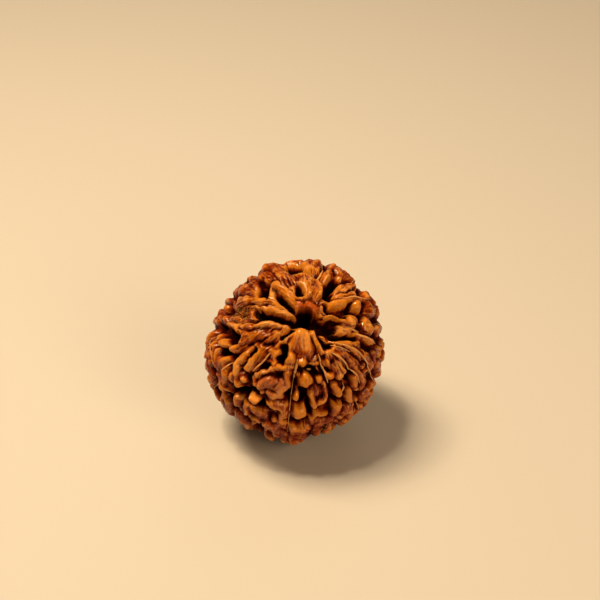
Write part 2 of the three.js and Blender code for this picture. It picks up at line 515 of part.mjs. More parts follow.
// The body: an even ball of small facets, each corner moved out to the bead's surface, with the underside
// worn flat where the bead rests.
function beadBody() {
  const ball = new THREE.IcosahedronGeometry(1, FACET_SPLITS);
  ball.deleteAttribute("normal");
  ball.deleteAttribute("uv");
  const body = mergeVertices(ball);
  const corners = body.getAttribute("position");
  const directions = [];
  for (let i = 0; i < corners.count; i++) {
    directions.push(new THREE.Vector3().fromBufferAttribute(corners, i).normalize());
  }
  let radii = directions.map(surfaceRadius);
  for (let round = 0; round < EASING_ROUNDS; round++) radii = easedRadii(radii, body.index.array);
  directions.forEach((direction, i) => {
    const worn = direction.z < 0 ? Math.min(radii[i], MIDDLE_HEIGHT / -direction.z) : radii[i];
    corners.setXYZ(i, direction.x * worn, direction.y * worn, direction.z * worn);
  });
  return body;
}

// The cord hole: a straight bore along the axis, longer than the bead.
function holeBore() {
  const bore = new THREE.CylinderGeometry(HOLE_RADIUS, HOLE_RADIUS, 2 * BEAD_DIAMETER, HOLE_SIDES);
  bore.applyQuaternion(new THREE.Quaternion().setFromUnitVectors(new THREE.Vector3(0, 1, 0), axis));
  bore.deleteAttribute("normal");
  bore.deleteAttribute("uv");
  return mergeVertices(bore);
}

const wasm = await Module();
wasm.setup();

function solidOf(geometry) {
  const vertProperties = geometry.getAttribute("position").array;
  const triVerts = new Uint32Array(geometry.index.array);
  return new wasm.Manifold(new wasm.Mesh({ numProp: 3, vertProperties, triVerts }));
}

function geometryOf(solid) {
  const { vertProperties, triVerts } = solid.getMesh();
  const geometry = new THREE.BufferGeometry();
  geometry.setAttribute("position", new THREE.BufferAttribute(vertProperties, 3));
  geometry.setIndex(new THREE.BufferAttribute(triVerts, 1));
  geometry.computeVertexNormals();
  return geometry;
}

const bead = new THREE.Mesh(
  geometryOf(solidOf(beadBody()).subtract(solidOf(holeBore()))),
  new THREE.MeshStandardMaterial({ color: 0xa65a1c, roughness: 0.42, metalness: 0 }),
);
bead.name = "bead";
bead.position.z = MIDDLE_HEIGHT;

const rudraksha = new THREE.Group();
rudraksha.add(bead);

export default rudraksha;
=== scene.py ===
"""Looks of a rudraksha bead: a finer stone, the pale fibres in its seams, a floor, lights and a camera."""
import math

import bpy
import numpy as np
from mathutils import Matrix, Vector


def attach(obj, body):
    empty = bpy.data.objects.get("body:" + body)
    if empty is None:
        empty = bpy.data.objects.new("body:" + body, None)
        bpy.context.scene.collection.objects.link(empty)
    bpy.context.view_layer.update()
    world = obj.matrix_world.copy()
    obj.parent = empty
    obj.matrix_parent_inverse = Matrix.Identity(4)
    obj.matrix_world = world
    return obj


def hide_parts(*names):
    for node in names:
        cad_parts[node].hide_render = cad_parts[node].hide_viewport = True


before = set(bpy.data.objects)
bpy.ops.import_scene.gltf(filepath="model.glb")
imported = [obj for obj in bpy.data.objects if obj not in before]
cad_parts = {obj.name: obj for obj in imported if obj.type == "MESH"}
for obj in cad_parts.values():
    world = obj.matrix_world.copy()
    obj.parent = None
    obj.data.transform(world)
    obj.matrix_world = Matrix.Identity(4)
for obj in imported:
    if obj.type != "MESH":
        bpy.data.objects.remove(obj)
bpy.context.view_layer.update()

# Driving dimensions, in millimetres
BEAD_DIAMETER = 24.0  # over the tops of the warts
DOME_RISE = 0.75  # of a wart's middle above its shoulders
RELIEF = 0.35  # of those shoulders above the gaps' floor
PIT_DEPTH = 1.5  # below that floor
PIT_GRANULE_RISE = 0.4  # of a full granule in a pit
MIDDLE_HEIGHT = 11.35  # of the bead's middle above the ground
REST_SPOT_RADIUS = 2.2  # a solid patch, worn flat
HOLE_RADIUS = 1.05
MOUTH_RADIUS = 10.5  # of the hole's mouth, from the bead's middle
FUNNEL_DEPTH = 0.35  # at each end of the hole
FUNNEL_ANGLE = (6.0, 15.0)  # degrees from the axis, bottom and rim
SEAM_VALLEY_DEPTH = 0.3
SEAM_VALLEY_HALF_WIDTH = 0.9
CREST_RADIUS = BEAD_DIAMETER / 2 - DOME_RISE
FLOOR_RADIUS = CREST_RADIUS - RELIEF
DOME_ON_FACE = 0.7  # share of a dome below the face map
FACE_RADIUS = CREST_RADIUS + DOME_ON_FACE * DOME_RISE
MM = 0.001
TINY = 1e-9  # keeps a divisor off zero

# The grid of the fine bead: steps round the axis, steps from end to end, steps along the hole
STEPS_ROUND = 400
STEPS_ALONG = 230
STEPS_IN_HOLE = 9

# Spreads of the blurs of the surface. Each mark says how far the surface lies below itself blurred.
# In the colour they darken hollows and creases, partly a dark stain of dirt and oil and partly painted shade,
# and lighten the crests as painted highlight.
BLURS = {"stain": 0.6, "hollow": 1.6, "crease": 0.22}

# Degrees from either end of the axis between which streaks fade out
FIBROUS_ANGLE = (35.0, 75.0)

# The face is the side seen from the camera. Its map is in millimetres right of and above the bead's middle.
VIEW_ELEVATION = math.radians(35)
VIEW_DISTANCE = 200.0
HOLE_ON_FACE = (1.41, 4.7)
OUTLINE_SHARE = 0.985  # of a ball's outline, past which the map goes round the back
LEAST_FACING = 0.3  # taken for marks near the edge of the face

# The photograph's frame: its width at the bead, its middle on the face map, and the nearest that is seen
FRAME_WIDTH = 79.1
AIM_RIGHT = 0.8
AIM_UP = 6.9
NEAREST_SEEN = 5.0

# Seams between the faces of the bead, in degrees round the axis from the side nearest the camera
SEAMS = [7, 37, 62, 86, 117, 150, 178, 208, 240, 284, 312, 334]

# Ridges and warts on the face: half width, share of the full rise, points along the crest
FACE_RIDGES = [
    # The smooth lobe in front of the hole, and the warts on its foot
    (0.5, 1.2, [(1.0, 3.0), (1.0, 2.0), (0.9, 0.8)]),
    (0.8, 1.0, [(0.8, 2.2), (0.2, 0.8)]),
    (0.8, 0.9, [(1.4, 2.2), (2.0, 0.5)]),
    (0.4, 1.0, [(2.5, 2.5), (3.1, 1.3), (3.8, 0.1)]),
    (0.65, 1.4, [(-0.35, -0.75)]),
    (0.48, 1.25, [(1.05, -1.35)]),
    (0.4, 0.75, [(0.4, -0.2), (1.3, -0.5)]),
    (0.3, 0.9, [(-2.4, 0.9), (-1.4, 1.5), (-0.7, 2.2)]),
    (0.28, 0.85, [(2.6, -1.0), (3.1, -0.7)]),
    (0.25, 0.85, [(2.2, -1.7), (3.2, -1.5)]),
    # Warts and webs below the lobe
    (0.42, 1.0, [(-0.9, -2.8)]),
    (0.34, 0.95, [(-0.9, -3.2), (-1.0, -4.6)]),
    (0.72, 1.05, [(1.5, -3.6), (1.5, -3.9)]),
    (0.29, 0.85, [(0.6, -3.0)]),
    (0.35, 0.95, [(-3.0, -1.1), (-2.6, -1.9), (-1.5, -2.2), (-0.3, -1.9)]),
    (0.38, 0.95, [(3.5, -3.7)]),
    (0.29, 0.95, [(3.9, -4.2), (4.4, -5.3), (4.2, -6.5), (3.3, -6.9)]),
    (0.32, 0.95, [(2.3, -5.6), (2.5, -6.6), (2.7, -7.3)]),
    (0.35, 1.05, [(0.4, -5.9), (0.2, -6.3)]),
    (0.85, 1.1, [(0.6, -8.2)]),
    (0.38, 0.95, [(-3.7, -7.0), (-2.5, -6.9), (-1.5, -7.2), (-1.4, -8.3), (-1.8, -9.3)]),
    (0.34, 1.0, [(-2.7, -9.0)]),
    (0.29, 0.9, [(2.2, -8.9), (3.0, -8.3), (4.3, -8.4)]),
    (0.8, 0.95, [(-0.2, -10.5), (1.2, -10.4)]),
    (0.8, 0.9, [(-3.3, -10.4), (-2.0, -10.8)]),
    (0.5, 0.85, [(3.2, -9.7), (4.6, -9.6)]),
    (0.5, 0.8, [(3.5, -10.5)]),
    (0.75, 0.9, [(-2.9, -9.9), (-1.4, -9.9)]),
    (0.7, 0.85, [(1.6, -11.0), (2.6, -10.4)]),
    (0.7, 0.9, [(-0.9, -11.3), (0.4, -11.2)]),
    # The broad worn lump at the front left
    (0.76, 1.0, [(-3.6, -3.9), (-2.2, -4.4)]),
    (0.42, 1.0, [(-1.4, -4.9), (-2.8, -5.9)]),
    (0.42, 1.0, [(-4.4, -4.2), (-4.6, -5.2)]),
    (0.5, 0.95, [(-3.4, -5.2), (-3.0, -5.6)]),
    (0.29, 0.95, [(-5.2, -3.2), (-4.5, -2.7), (-3.4, -2.4), (-2.6, -2.0)]),
    # Right side
    (0.5, 0.85, [(6.2, 3.0), (7.4, 2.8)]),
    (0.3, 1.0, [(8.2, 2.4), (9.4, 1.9), (10.3, 1.3)]),
    (0.55, 0.95, [(6.0, 1.1), (7.5, 0.4), (8.6, -0.3)]),
    (0.3, 0.9, [(8.3, 0.9)]),
    (0.45, 0.95, [(4.9, -0.1), (6.2, -0.4), (7.2, -0.3)]),
    (0.6, 1.0, [(9.4, -0.2), (10.1, -1.0), (10.3, -1.8)]),
    (0.34, 0.95, [(9.2, -1.9)]),
    (0.34, 0.9, [(8.3, -1.9), (8.8, -3.0), (9.2, -3.8)]),
    (0.46, 1.0, [(8.3, -3.6), (8.3, -4.4)]),
    (0.29, 0.95, [(8.6, -5.1)]),
    (0.45, 0.95, [(6.2, -1.2), (6.7, -2.3)]),
    (0.45, 1.0, [(4.5, -1.4)]),
    (0.42, 1.0, [(4.9, -3.3)]),
    (0.46, 0.95, [(6.1, -3.2)]),
    (0.38, 0.9, [(5.6, -2.2)]),
    (0.42, 1.0, [(5.3, -4.5), (6.0, -5.5)]),
    (0.34, 0.95, [(7.3, -5.1), (7.4, -6.5)]),
    (0.38, 0.95, [(10.3, -4.3), (9.7, -5.2), (9.2, -6.4)]),
    (0.29, 0.9, [(8.4, -6.4)]),
    (0.5, 0.95, [(5.8, -7.3), (5.5, -8.4)]),
    (0.5, 0.85, [(7.4, -8.0)]),
    (0.29, 0.85, [(8.2, -7.9)]),
    (0.38, 0.9, [(5.5, -9.5)]),
    (0.4, 0.9, [(7.6, -1.0), (8.3, -1.5)]),
    (0.4, 0.85, [(10.7, -0.2), (10.9, -1.4)]),
    (0.4, 0.85, [(7.6, 1.2), (8.8, 1.1)]),
    # Upper right
    (0.65, 1.05, [(4.4, 10.9), (4.6, 9.9)]),
    (0.55, 1.25, [(5.6, 13.0), (5.3, 11.5), (6.3, 10.6), (7.7, 9.6)]),
    (0.8, 1.0, [(6.2, 8.7), (7.6, 8.6)]),
    (0.5, 1.0, [(6.2, 7.6), (8.0, 7.8)]),
    (0.48, 1.15, [(5.6, 6.4), (6.7, 6.6)]),
    (0.5, 1.1, [(8.6, 6.5), (8.6, 6.1)]),
    (0.25, 0.9, [(6.9, 7.1), (8.4, 7.2), (9.8, 7.1)]),
    (0.65, 0.95, [(9.6, 7.8)]),
    (0.9, 1.0, [(10.3, 5.8)]),
    (0.5, 1.0, [(8.3, 5.1), (7.7, 4.3), (7.8, 3.7)]),
    (0.2, 1.0, [(4.3, 4.75), (5.1, 4.75), (6.1, 4.3), (7.4, 3.9)]),
    (0.65, 1.0, [(10.2, 3.2), (9.8, 4.2)]),
    # The plateau behind the hole and the lip of the hole
    (0.6, 0.95, [(-2.3, 10.5), (0.0, 10.3), (2.0, 10.1), (2.8, 9.6)]),
    (0.6, 0.85, [(-1.2, 9.3), (0.0, 8.3)]),
    (0.9, 1.0, [(2.5, 9.0), (2.6, 7.8)]),
    (0.5, 0.95, [(3.4, 9.2), (3.6, 8.0)]),
    (0.8, 1.0, [(1.4, 11.5), (2.7, 11.5)]),
    (0.6, 1.05, [(3.1, 11.8), (3.4, 13.0), (4.2, 15.6)]),
    (0.5, 1.0, [(-2.6, 9.2), (-1.5, 8.5), (-0.5, 7.7), (0.2, 7.0)]),
    (0.4, 0.65, [(-2.6, 9.2), (-3.2, 8.7), (-3.1, 7.6), (-2.6, 6.9)]),
    (0.4, 0.9, [(0.1, 7.3), (0.9, 7.2), (1.6, 7.3)]),
    (0.55, 1.1, [(0.9, 6.6), (1.0, 6.3)]),
    (0.75, 1.05, [(2.0, 6.5), (2.5, 5.9)]),
    (0.22, 0.6, [(3.3, 6.9), (3.4, 5.9), (3.8, 5.2)]),
    (0.6, 0.6, [(4.1, 7.0), (4.3, 6.0)]),
    # Upper left
    (0.5, 0.9, [(-4.3, 10.4), (-3.4, 9.9)]),
    (0.55, 1.1, [(-3.8, 11.2), (-4.1, 12.2), (-5.0, 15.0)]),
    (0.45, 0.9, [(-5.3, 9.2), (-5.0, 8.6)]),
    (0.4, 1.0, [(-5.3, 10.2), (-5.9, 11.2), (-7.6, 13.8)]),
    (1.0, 1.0, [(-6.7, 8.4), (-7.2, 9.0), (-9.6, 11.6)]),
    (0.4, 1.0, [(-5.0, 7.8), (-6.4, 7.3), (-7.6, 7.1)]),
    (0.45, 1.0, [(-4.2, 6.8), (-5.5, 7.0), (-7.0, 6.8), (-8.3, 6.4)]),
    (0.55, 0.9, [(-9.2, 6.1)]),
    (0.5, 0.9, [(-9.8, 4.5)]),
    (0.7, 0.5, [(-8.0, 5.3), (-6.2, 5.2)]),
    (0.35, 1.0, [(-4.2, 6.0), (-2.4, 5.6), (-0.9, 5.2), (-0.3, 5.0)]),
    (0.3, 0.95, [(-3.3, 6.9), (-2.2, 6.2), (-1.0, 5.7)]),
    # Left side
    (0.34, 0.9, [(-5.6, -3.6), (-5.4, -4.3)]),
    (0.4, 0.9, [(-8.6, 4.6), (-6.6, 4.3)]),
    (0.38, 0.9, [(-8.4, -3.2), (-8.6, -3.6)]),
    (0.4, 0.9, [(-10.7, 0.8), (-10.9, -0.6)]),
    (0.45, 1.0, [(-9.0, 3.7), (-7.0, 3.4), (-5.0, 3.4), (-3.6, 3.8), (-2.2, 3.4), (-0.6, 3.3)]),
    (0.8, 0.95, [(-6.4, 2.2), (-4.2, 2.3), (-2.6, 2.5)]),
    (0.18, 0.9, [(-9.2, 2.1), (-8.2, 2.6), (-7.2, 3.1)]),
    (0.5, 0.95, [(-10.4, 2.2)]),
    (0.45, 0.95, [(-9.7, 1.4)]),
    (0.4, 1.0, [(-9.6, 0.8), (-8.3, 0.5), (-7.2, 1.2), (-6.4, 1.6)]),
    (0.42, 1.0, [(-9.6, -0.8), (-9.5, -2.0), (-9.4, -3.2)]),
    (0.38, 1.0, [(-6.3, -0.1), (-7.1, -0.7), (-7.8, -1.5), (-7.9, -2.6), (-7.6, -4.3)]),
    (0.45, 1.0, [(-4.3, 0.7), (-5.0, -0.3), (-5.8, -1.2), (-6.2, -2.1)]),
    (0.4, 0.95, [(-3.6, 0.3), (-4.4, -0.8), (-5.4, -1.9)]),
    (0.6, 0.95, [(-3.2, 0.4), (-2.6, -0.5)]),
    (0.42, 1.0, [(-6.9, -3.7)]),
    (0.3, 0.9, [(-10.4, 0.3), (-10.5, -1.6)]),
    (0.5, 0.95, [(-10.2, -3.2), (-9.8, -4.6)]),
    (0.42, 0.95, [(-9.3, -3.2)]),
    (0.55, 0.95, [(-7.7, -6.0), (-7.7, -7.0)]),
    (0.34, 0.9, [(-6.6, -6.8), (-6.5, -8.2)]),
    (0.59, 0.9, [(-7.7, -8.4)]),
    (0.42, 0.9, [(-9.6, -6.3), (-9.2, -7.3)]),
    (0.42, 1.0, [(-5.9, -6.0), (-4.9, -6.7)]),
    (0.21, 0.95, [(-5.9, -8.8), (-4.9, -9.0), (-4.2, -9.9)]),
]

# Broad plates that tie ridges of the face together: half width, share of the full rise, points
FACE_PLATES = [
    (1.1, 1.15, [(-3.0, 10.9), (-1.0, 10.1), (1.4, 9.5), (2.5, 8.4)]),
    (0.9, 1.2, [(-3.6, 11.4), (-1.4, 11.4)]),
    (1.1, 0.9, [(-6.9, 8.3), (-5.4, 7.6)]),
    (0.9, 0.85, [(-7.8, 6.4), (-5.2, 6.6), (-2.6, 6.0)]),
    (1.1, 0.85, [(-6.8, 2.5), (-4.4, 2.8), (-2.0, 3.1)]),
    (0.8, 0.8, [(-5.0, 1.1), (-2.6, 1.6)]),
    (1.1, 1.25, [(5.6, 11.0), (7.6, 9.2)]),
    (1.0, 0.9, [(6.6, 8.4), (7.8, 8.2)]),
    (0.9, 1.2, [(1.4, 11.6), (3.0, 11.5)]),
    (0.9, 0.8, [(7.9, 4.4), (7.0, 3.2)]),
    (1.2, 0.85, [(10.2, 6.2), (10.0, 3.6)]),
    (0.9, 0.85, [(5.6, 0.6), (7.6, -0.1), (8.4, -1.2)]),
    (0.8, 0.8, [(4.6, -0.8), (5.4, -1.8), (6.2, -2.4)]),
    (1.4, 1.25, [(1.0, 1.8), (1.2, 0.4)]),
    (0.9, 0.85, [(-3.4, -1.0), (-2.4, -0.6)]),
    (1.2, 0.85, [(-3.6, -3.4), (-2.4, -5.4)]),
    (0.8, 0.85, [(-9.8, -3.6), (-10.2, -1.4)]),
    (0.8, 0.85, [(-7.6, 0.6), (-6.2, 0.7)]),
    (1.0, 1.05, [(-4.2, 0.2), (-5.6, -1.7)]),
    (0.8, 0.9, [(-11.3, 1.4), (-11.5, -1.0), (-11.1, -3.2)]),
    (0.9, 1.2, [(-3.5, -9.6), (-2.4, -10.4), (-1.2, -11.2), (0.0, -11.8)]),
    (0.9, 1.2, [(-0.4, -10.3), (1.4, -10.2)]),
    (0.7, 1.2, [(-2.6, -6.9), (-1.6, -7.3), (-1.5, -8.4), (-1.8, -9.6)]),
    (1.0, 0.5, [(3.3, -5.3)]),
    (0.9, 0.6, [(-5.4, -7.8), (-4.2, -8.7)]),
    (0.9, 0.7, [(6.6, -8.6), (7.6, -7.4)]),
    (0.8, 0.7, [(-7.2, -7.6)]),
    (0.9, 0.7, [(2.8, -9.4), (4.6, -9.6)]),
    (0.8, 0.7, [(9.4, -4.6), (9.6, -2.8)]),
    (0.8, 0.7, [(-9.4, -5.4), (-9.2, -6.8)]),
    (0.7, 0.6, [(-8.4, -3.6), (-7.2, -3.2)]),
]

# Pits and clefts on the face: half width, points
FACE_PITS = [
    (0.5, [(-4.0, 8.9), (-4.2, 7.8)]),
    (0.34, [(-5.3, 5.5), (-3.8, 5.1), (-2.2, 4.7), (-0.6, 4.3)]),
    (0.4, [(-5.0, 4.6)]),
    (0.36, [(-2.1, 7.7), (-1.3, 6.9), (-0.4, 6.0)]),
    (0.4, [(0.7, 8.7), (0.7, 8.0)]),
    (0.32, [(-0.2, 10.9), (-0.2, 11.6)]),
    (0.32, [(0.7, 10.8), (0.7, 11.5)]),
    (0.28, [(0.8, 11.0), (2.2, 10.5), (3.1, 10.1)]),
    (0.5, [(5.6, 9.7), (4.8, 8.9), (4.7, 7.7)]),
    (0.38, [(5.2, 5.4), (6.3, 5.0), (7.0, 4.8)]),
    (0.35, [(7.5, 6.3), (7.8, 5.6), (8.5, 5.2)]),
    (0.3, [(4.3, 6.4), (4.6, 5.8)]),
    (0.2, [(8.7, 7.7)]),
    (0.4, [(9.1, 4.8)]),
    (0.85, [(4.8, 3.2), (5.2, 2.9)]),
    (0.3, [(5.7, 1.9), (7.0, 2.0), (8.4, 1.8)]),
    (0.4, [(9.6, 0.6)]),
    (0.4, [(5.0, 0.8)]),
    (0.35, [(3.2, 3.2), (3.6, 2.1), (4.3, 0.6)]),
    (0.25, [(11.0, 2.6)]),
    (0.6, [(-9.7, 2.8), (-8.9, 2.6)]),
    (0.65, [(-8.7, 1.8), (-7.9, 1.8)]),
    (0.48, [(-9.9, 0.1), (-9.3, 0.1), (-8.6, -0.7)]),
    (0.25, [(-8.5, -1.3), (-8.8, -2.4)]),
    (0.3, [(-5.3, 0.3), (-5.8, -0.3)]),
    (0.22, [(-6.3, -0.9), (-6.8, -1.5), (-7.0, -2.2)]),
    (0.25, [(-1.7, 2.0), (-0.9, 2.4), (-0.3, 3.0)]),
    (0.5, [(-1.4, 0.6), (-1.3, -0.4), (-1.8, -1.0)]),
    (0.45, [(2.0, -2.2), (2.8, -2.8)]),
    (0.35, [(7.4, -2.5), (7.4, -3.6)]),
    (0.35, [(9.7, -3.3)]),
    (0.2, [(10.4, -2.7)]),
    (0.48, [(-8.8, -4.2), (-8.5, -5.1), (-7.2, -5.5)]),
    (0.45, [(-5.9, -5.2), (-5.2, -5.3)]),
    (0.4, [(-9.2, -5.8), (-8.7, -6.5)]),
    (0.33, [(-6.6, -5.8), (-6.4, -6.6), (-5.7, -7.2), (-4.7, -7.4)]),
    (0.4, [(-4.2, -6.9), (-3.6, -7.7), (-2.4, -7.9)]),
    (0.45, [(-5.7, -9.2), (-4.7, -9.9)]),
    (0.45, [(-1.0, -6.0)]),
    (0.3, [(-0.5, -6.95), (0.9, -6.9)]),
    (0.5, [(1.2, -5.3), (1.4, -6.3)]),
    (0.35, [(1.9, -7.3), (2.2, -8.4)]),
    (0.28, [(-1.1, -9.3), (-0.4, -9.6), (0.7, -9.6), (1.5, -9.1)]),
    (0.4, [(3.3, -7.6), (4.6, -7.3), (5.2, -6.5), (6.5, -6.4)]),
    (0.3, [(6.3, -8.7)]),
    (0.25, [(6.9, -7.1)]),
    (0.3, [(8.4, -5.6)]),
    (0.4, [(-1.5, 4.2), (0.0, 3.9), (2.0, 3.8), (3.0, 3.5)]),
    (0.68, [(0.9, 4.6), (1.9, 4.6)]),
    (0.42, [(2.7, 5.0), (3.3, 4.2), (4.0, 3.5)]),
]

# Gaps that run over the edge of the face: half width, depth, points
EDGE_GAPS = [
    (0.35, 0.5, [(4.0, 11.1), (4.4, 11.8), (6.0, 16.0)]),
    (0.45, 0.55, [(8.6, 7.9), (9.2, 8.6), (12.0, 11.4)]),
    (0.5, 0.9, [(-4.7, 10.6), (-5.2, 11.3), (-7.6, 14.6)]),
    (0.45, 0.8, [(-6.1, 9.3), (-6.7, 10.0), (-9.6, 13.2)]),
    (0.45, 0.7, [(-7.9, 7.5), (-8.6, 7.9), (-12.4, 10.8)]),
    (0.4, 0.5, [(-9.5, 5.3), (-10.2, 5.4), (-15.0, 7.0)]),
    (0.7, 1.1, [(-9.8, 3.7), (-10.8, 3.6), (-15.6, 4.6)]),
    (0.4, 0.5, [(10.6, 4.4), (11.4, 4.5), (15.0, 5.6)]),
    (0.4, 0.5, [(11.0, 2.4), (12.0, 2.3), (15.6, 3.0)]),
    (0.7, 1.3, [(-4.4, -9.8), (-4.8, -10.8), (-6.6, -15.0)]),
    (0.5, 0.8, [(1.9, -10.6), (2.1, -11.6), (2.8, -15.6)]),
    (0.5, 0.7, [(5.4, -9.6), (5.8, -10.4), (8.4, -14.0)]),
]

# Creases in the plates and lobes of the face: half width, depth, points
FACE_CREASES = [
    (0.16, 0.3, [(2.0, 3.0), (2.5, 1.7), (3.1, 0.3)]),
    (0.13, 0.35, [(0.2, 7.0), (1.3, 6.95), (1.5, 7.1), (2.2, 7.2), (2.9, 6.8)]),
    (0.13, 0.35, [(1.5, 7.0), (1.5, 6.2)]),
    (0.18, 0.14, [(-1.0, 0.2), (-0.3, 0.05), (0.4, -0.2), (1.6, -0.5)]),
    (0.13, 0.3, [(-1.7, 9.9), (-0.9, 9.0), (-0.3, 8.2)]),
    (0.12, 0.25, [(-1.1, 9.9), (-0.3, 9.0)]),
    (0.15, 0.3, [(-4.2, 10.7), (-3.0, 10.6), (-2.2, 9.9)]),
    (0.15, 0.25, [(-3.4, 10.1), (-2.7, 9.6)]),
    (0.15, 0.3, [(-7.9, 7.4), (-6.6, 7.7), (-5.2, 7.5)]),
    (0.15, 0.3, [(-6.8, 6.2), (-5.6, 6.5), (-4.6, 6.2), (-3.6, 6.3)]),
    (0.15, 0.3, [(-7.4, 3.1), (-5.8, 3.0), (-4.6, 3.3)]),
    (0.15, 0.3, [(-6.2, 1.0), (-4.8, 1.4), (-3.6, 1.9)]),
    (0.12, 0.2, [(-3.0, 2.9), (-1.6, 3.1)]),
    (0.13, 0.35, [(-8.6, 6.4), (-9.1, 5.4)]),
    (0.13, 0.35, [(-10.8, 1.6), (-10.9, -0.6), (-10.5, -2.6)]),
    (0.12, 0.3, [(-11.2, 0.8), (-11.4, -1.2), (-10.9, -3.6)]),
    (0.45, 0.9, [(-4.4, -2.0), (-3.7, -1.8)]),
    (0.25, 0.5, [(-4.0, 1.1), (-3.0, 1.1)]),
    (0.25, 0.45, [(5.1, -1.2)]),
    (0.26, 0.45, [(-4.4, -3.2), (-3.4, -3.0), (-2.5, -3.2)]),
    (0.14, 0.25, [(-2.2, -3.0), (-2.0, -3.9), (-2.7, -4.6)]),
    (0.14, 0.25, [(-4.6, -5.0), (-3.6, -4.9), (-2.4, -5.4)]),
    (0.15, 0.35, [(5.8, 8.0), (6.9, 7.9), (8.3, 8.6)]),
    (0.2, 0.4, [(5.2, 10.4), (6.4, 9.6), (7.4, 9.4)]),
    (0.15, 0.35, [(9.2, 7.4), (9.6, 6.6), (9.5, 5.4)]),
    (0.15, 0.3, [(9.3, 4.2), (9.2, 3.2)]),
    (0.13, 0.35, [(5.2, 1.2), (6.8, 0.5), (8.2, -0.6), (9.4, -2.2)]),
    (0.13, 0.35, [(4.6, 0.2), (5.8, -0.8), (7.0, -2.2)]),
    (0.13, 0.3, [(4.0, -0.3), (4.3, -1.6)]),
    (0.15, 0.35, [(-0.8, -9.9), (-0.9, -11.6)]),
    (0.15, 0.3, [(-3.6, -9.8), (-2.9, -10.8)]),
    (0.13, 0.3, [(1.2, -9.9), (2.4, -10.3)]),
]

# Pale fibres that show in the seams of the face: half width, points
FACE_FIBRES = [
    (0.2, [(0.5, -0.9), (0.25, -2.0), (0.05, -3.0), (-0.1, -3.8)]),
    (0.06, [(-0.1, -3.6), (-0.3, -5.0), (-0.5, -6.5), (-0.7, -8.5), (-0.9, -10.6)]),
    (0.16, [(3.3, -0.2), (3.7, -1.4), (4.2, -2.7), (4.6, -4.2)]),
    (0.14, [(4.7, 0.1), (6.2, -0.8), (7.4, -2.0), (8.4, -3.1), (8.8, -4.2)]),
    (0.12, [(5.4, 1.3), (7.0, 0.8), (8.3, 0.1), (9.4, -1.1), (10.1, -2.5), (10.6, -3.7)]),
    (0.08, [(5.0, 1.0), (6.4, 0.6), (7.6, 0.0)]),
    (0.15, [(7.3, 3.3), (8.2, 2.9), (9.6, 2.4)]),
    (0.16, [(8.1, 2.4), (9.4, 1.9), (10.5, 1.1)]),
    (0.12, [(-3.1, 0.0), (-4.3, -1.3), (-5.6, -2.5)]),
    (0.13, [(-8.6, -1.4), (-9.7, -2.4)]),
    (0.14, [(4.1, 11.5), (3.8, 10.9), (3.5, 10.3), (2.9, 9.5)]),
    (0.11, [(6.3, 7.1), (7.6, 7.3), (8.8, 7.2), (9.8, 7.0)]),
    (0.1, [(-10.9, 1.6), (-11.1, 0.0), (-10.9, -2.0)]),
    (0.13, [(1.9, -2.6), (2.8, -2.7)]),
    (0.14, [(6.9, -4.2), (6.4, -5.3)]),
]

# Patches with a finish of their own on the face: half width, points
RED_LIP = [(0.5, [(0.8, 6.5), (1.1, 6.4)]), (0.75, [(2.0, 6.5), (2.5, 5.9)])]
WORN_PATCH = [(1.5, [(-3.4, -3.9), (-2.4, -4.6)])]
GRAINY_PATCHES = [
    (1.1, [(-8.0, 5.3), (-6.4, 5.2)]),
    (0.3, [(-2.0, 5.5), (-0.2, 5.0)]),
    (0.45, [(-3.1, 8.8), (-3.0, 7.4)]),
    (0.6, [(6.4, 2.9), (7.4, 2.9)]),
]

# Smooth warts, ridges oiled to a brighter orange with a painted highlight on their rounded middles, smooth
# lobes,
# and spots of painted sheen: half width, points
SMOOTH_WARTS = [
    (0.8, [(1.4, -3.8)]),
    (0.6, [(-0.5, -0.7)]),
    (0.5, [(1.1, -1.3)]),
    (0.6, [(-0.9, -2.9), (-0.9, -3.8)]),
    (0.5, [(0.4, -5.9), (0.1, -6.6)]),
    (0.9, [(0.6, -8.2)]),
    (0.5, [(5.0, 6.5), (7.0, 6.5)]),
    (0.6, [(8.6, 6.3)]),
    (0.6, [(8.3, -3.9)]),
    (0.5, [(5.0, -3.3)]),
    (0.5, [(4.4, -1.5)]),
    (0.5, [(5.4, -4.6), (6.0, -5.6)]),
    (0.5, [(5.8, -7.4)]),
    (0.4, [(-2.7, -9.1)]),
    (0.5, [(0.6, 2.8), (0.2, 1.0)]),
]
WARM_RIDGES = [
    (0.9, [(2.6, 9.0), (2.6, 7.8)]),
    (0.5, [(-2.4, 9.2), (-0.4, 7.6)]),
    (0.6, [(-7.4, 7.0), (-5.0, 6.9), (-2.4, 5.9)]),
    (0.6, [(-6.9, 8.4)]),
    (0.5, [(2.6, 2.3), (3.2, 0.8)]),
    (0.6, [(-6.0, 2.4), (-3.0, 2.6)]),
    (0.5, [(-9.0, 0.8), (-7.2, 1.1)]),
    (0.5, [(-4.4, 0.2), (-5.6, -1.2)]),
    (0.2, [(3.3, 6.4), (3.8, 5.2)]),
    (0.2, [(4.4, 4.8), (6.6, 4.3)]),
]
SMOOTH_LOBES = [(1.3, [(1.0, 2.4), (1.1, 0.6)]), (1.0, [(-6.9, 8.5)]), (1.2, [(-3.4, -3.9), (-2.4, -4.7)])]
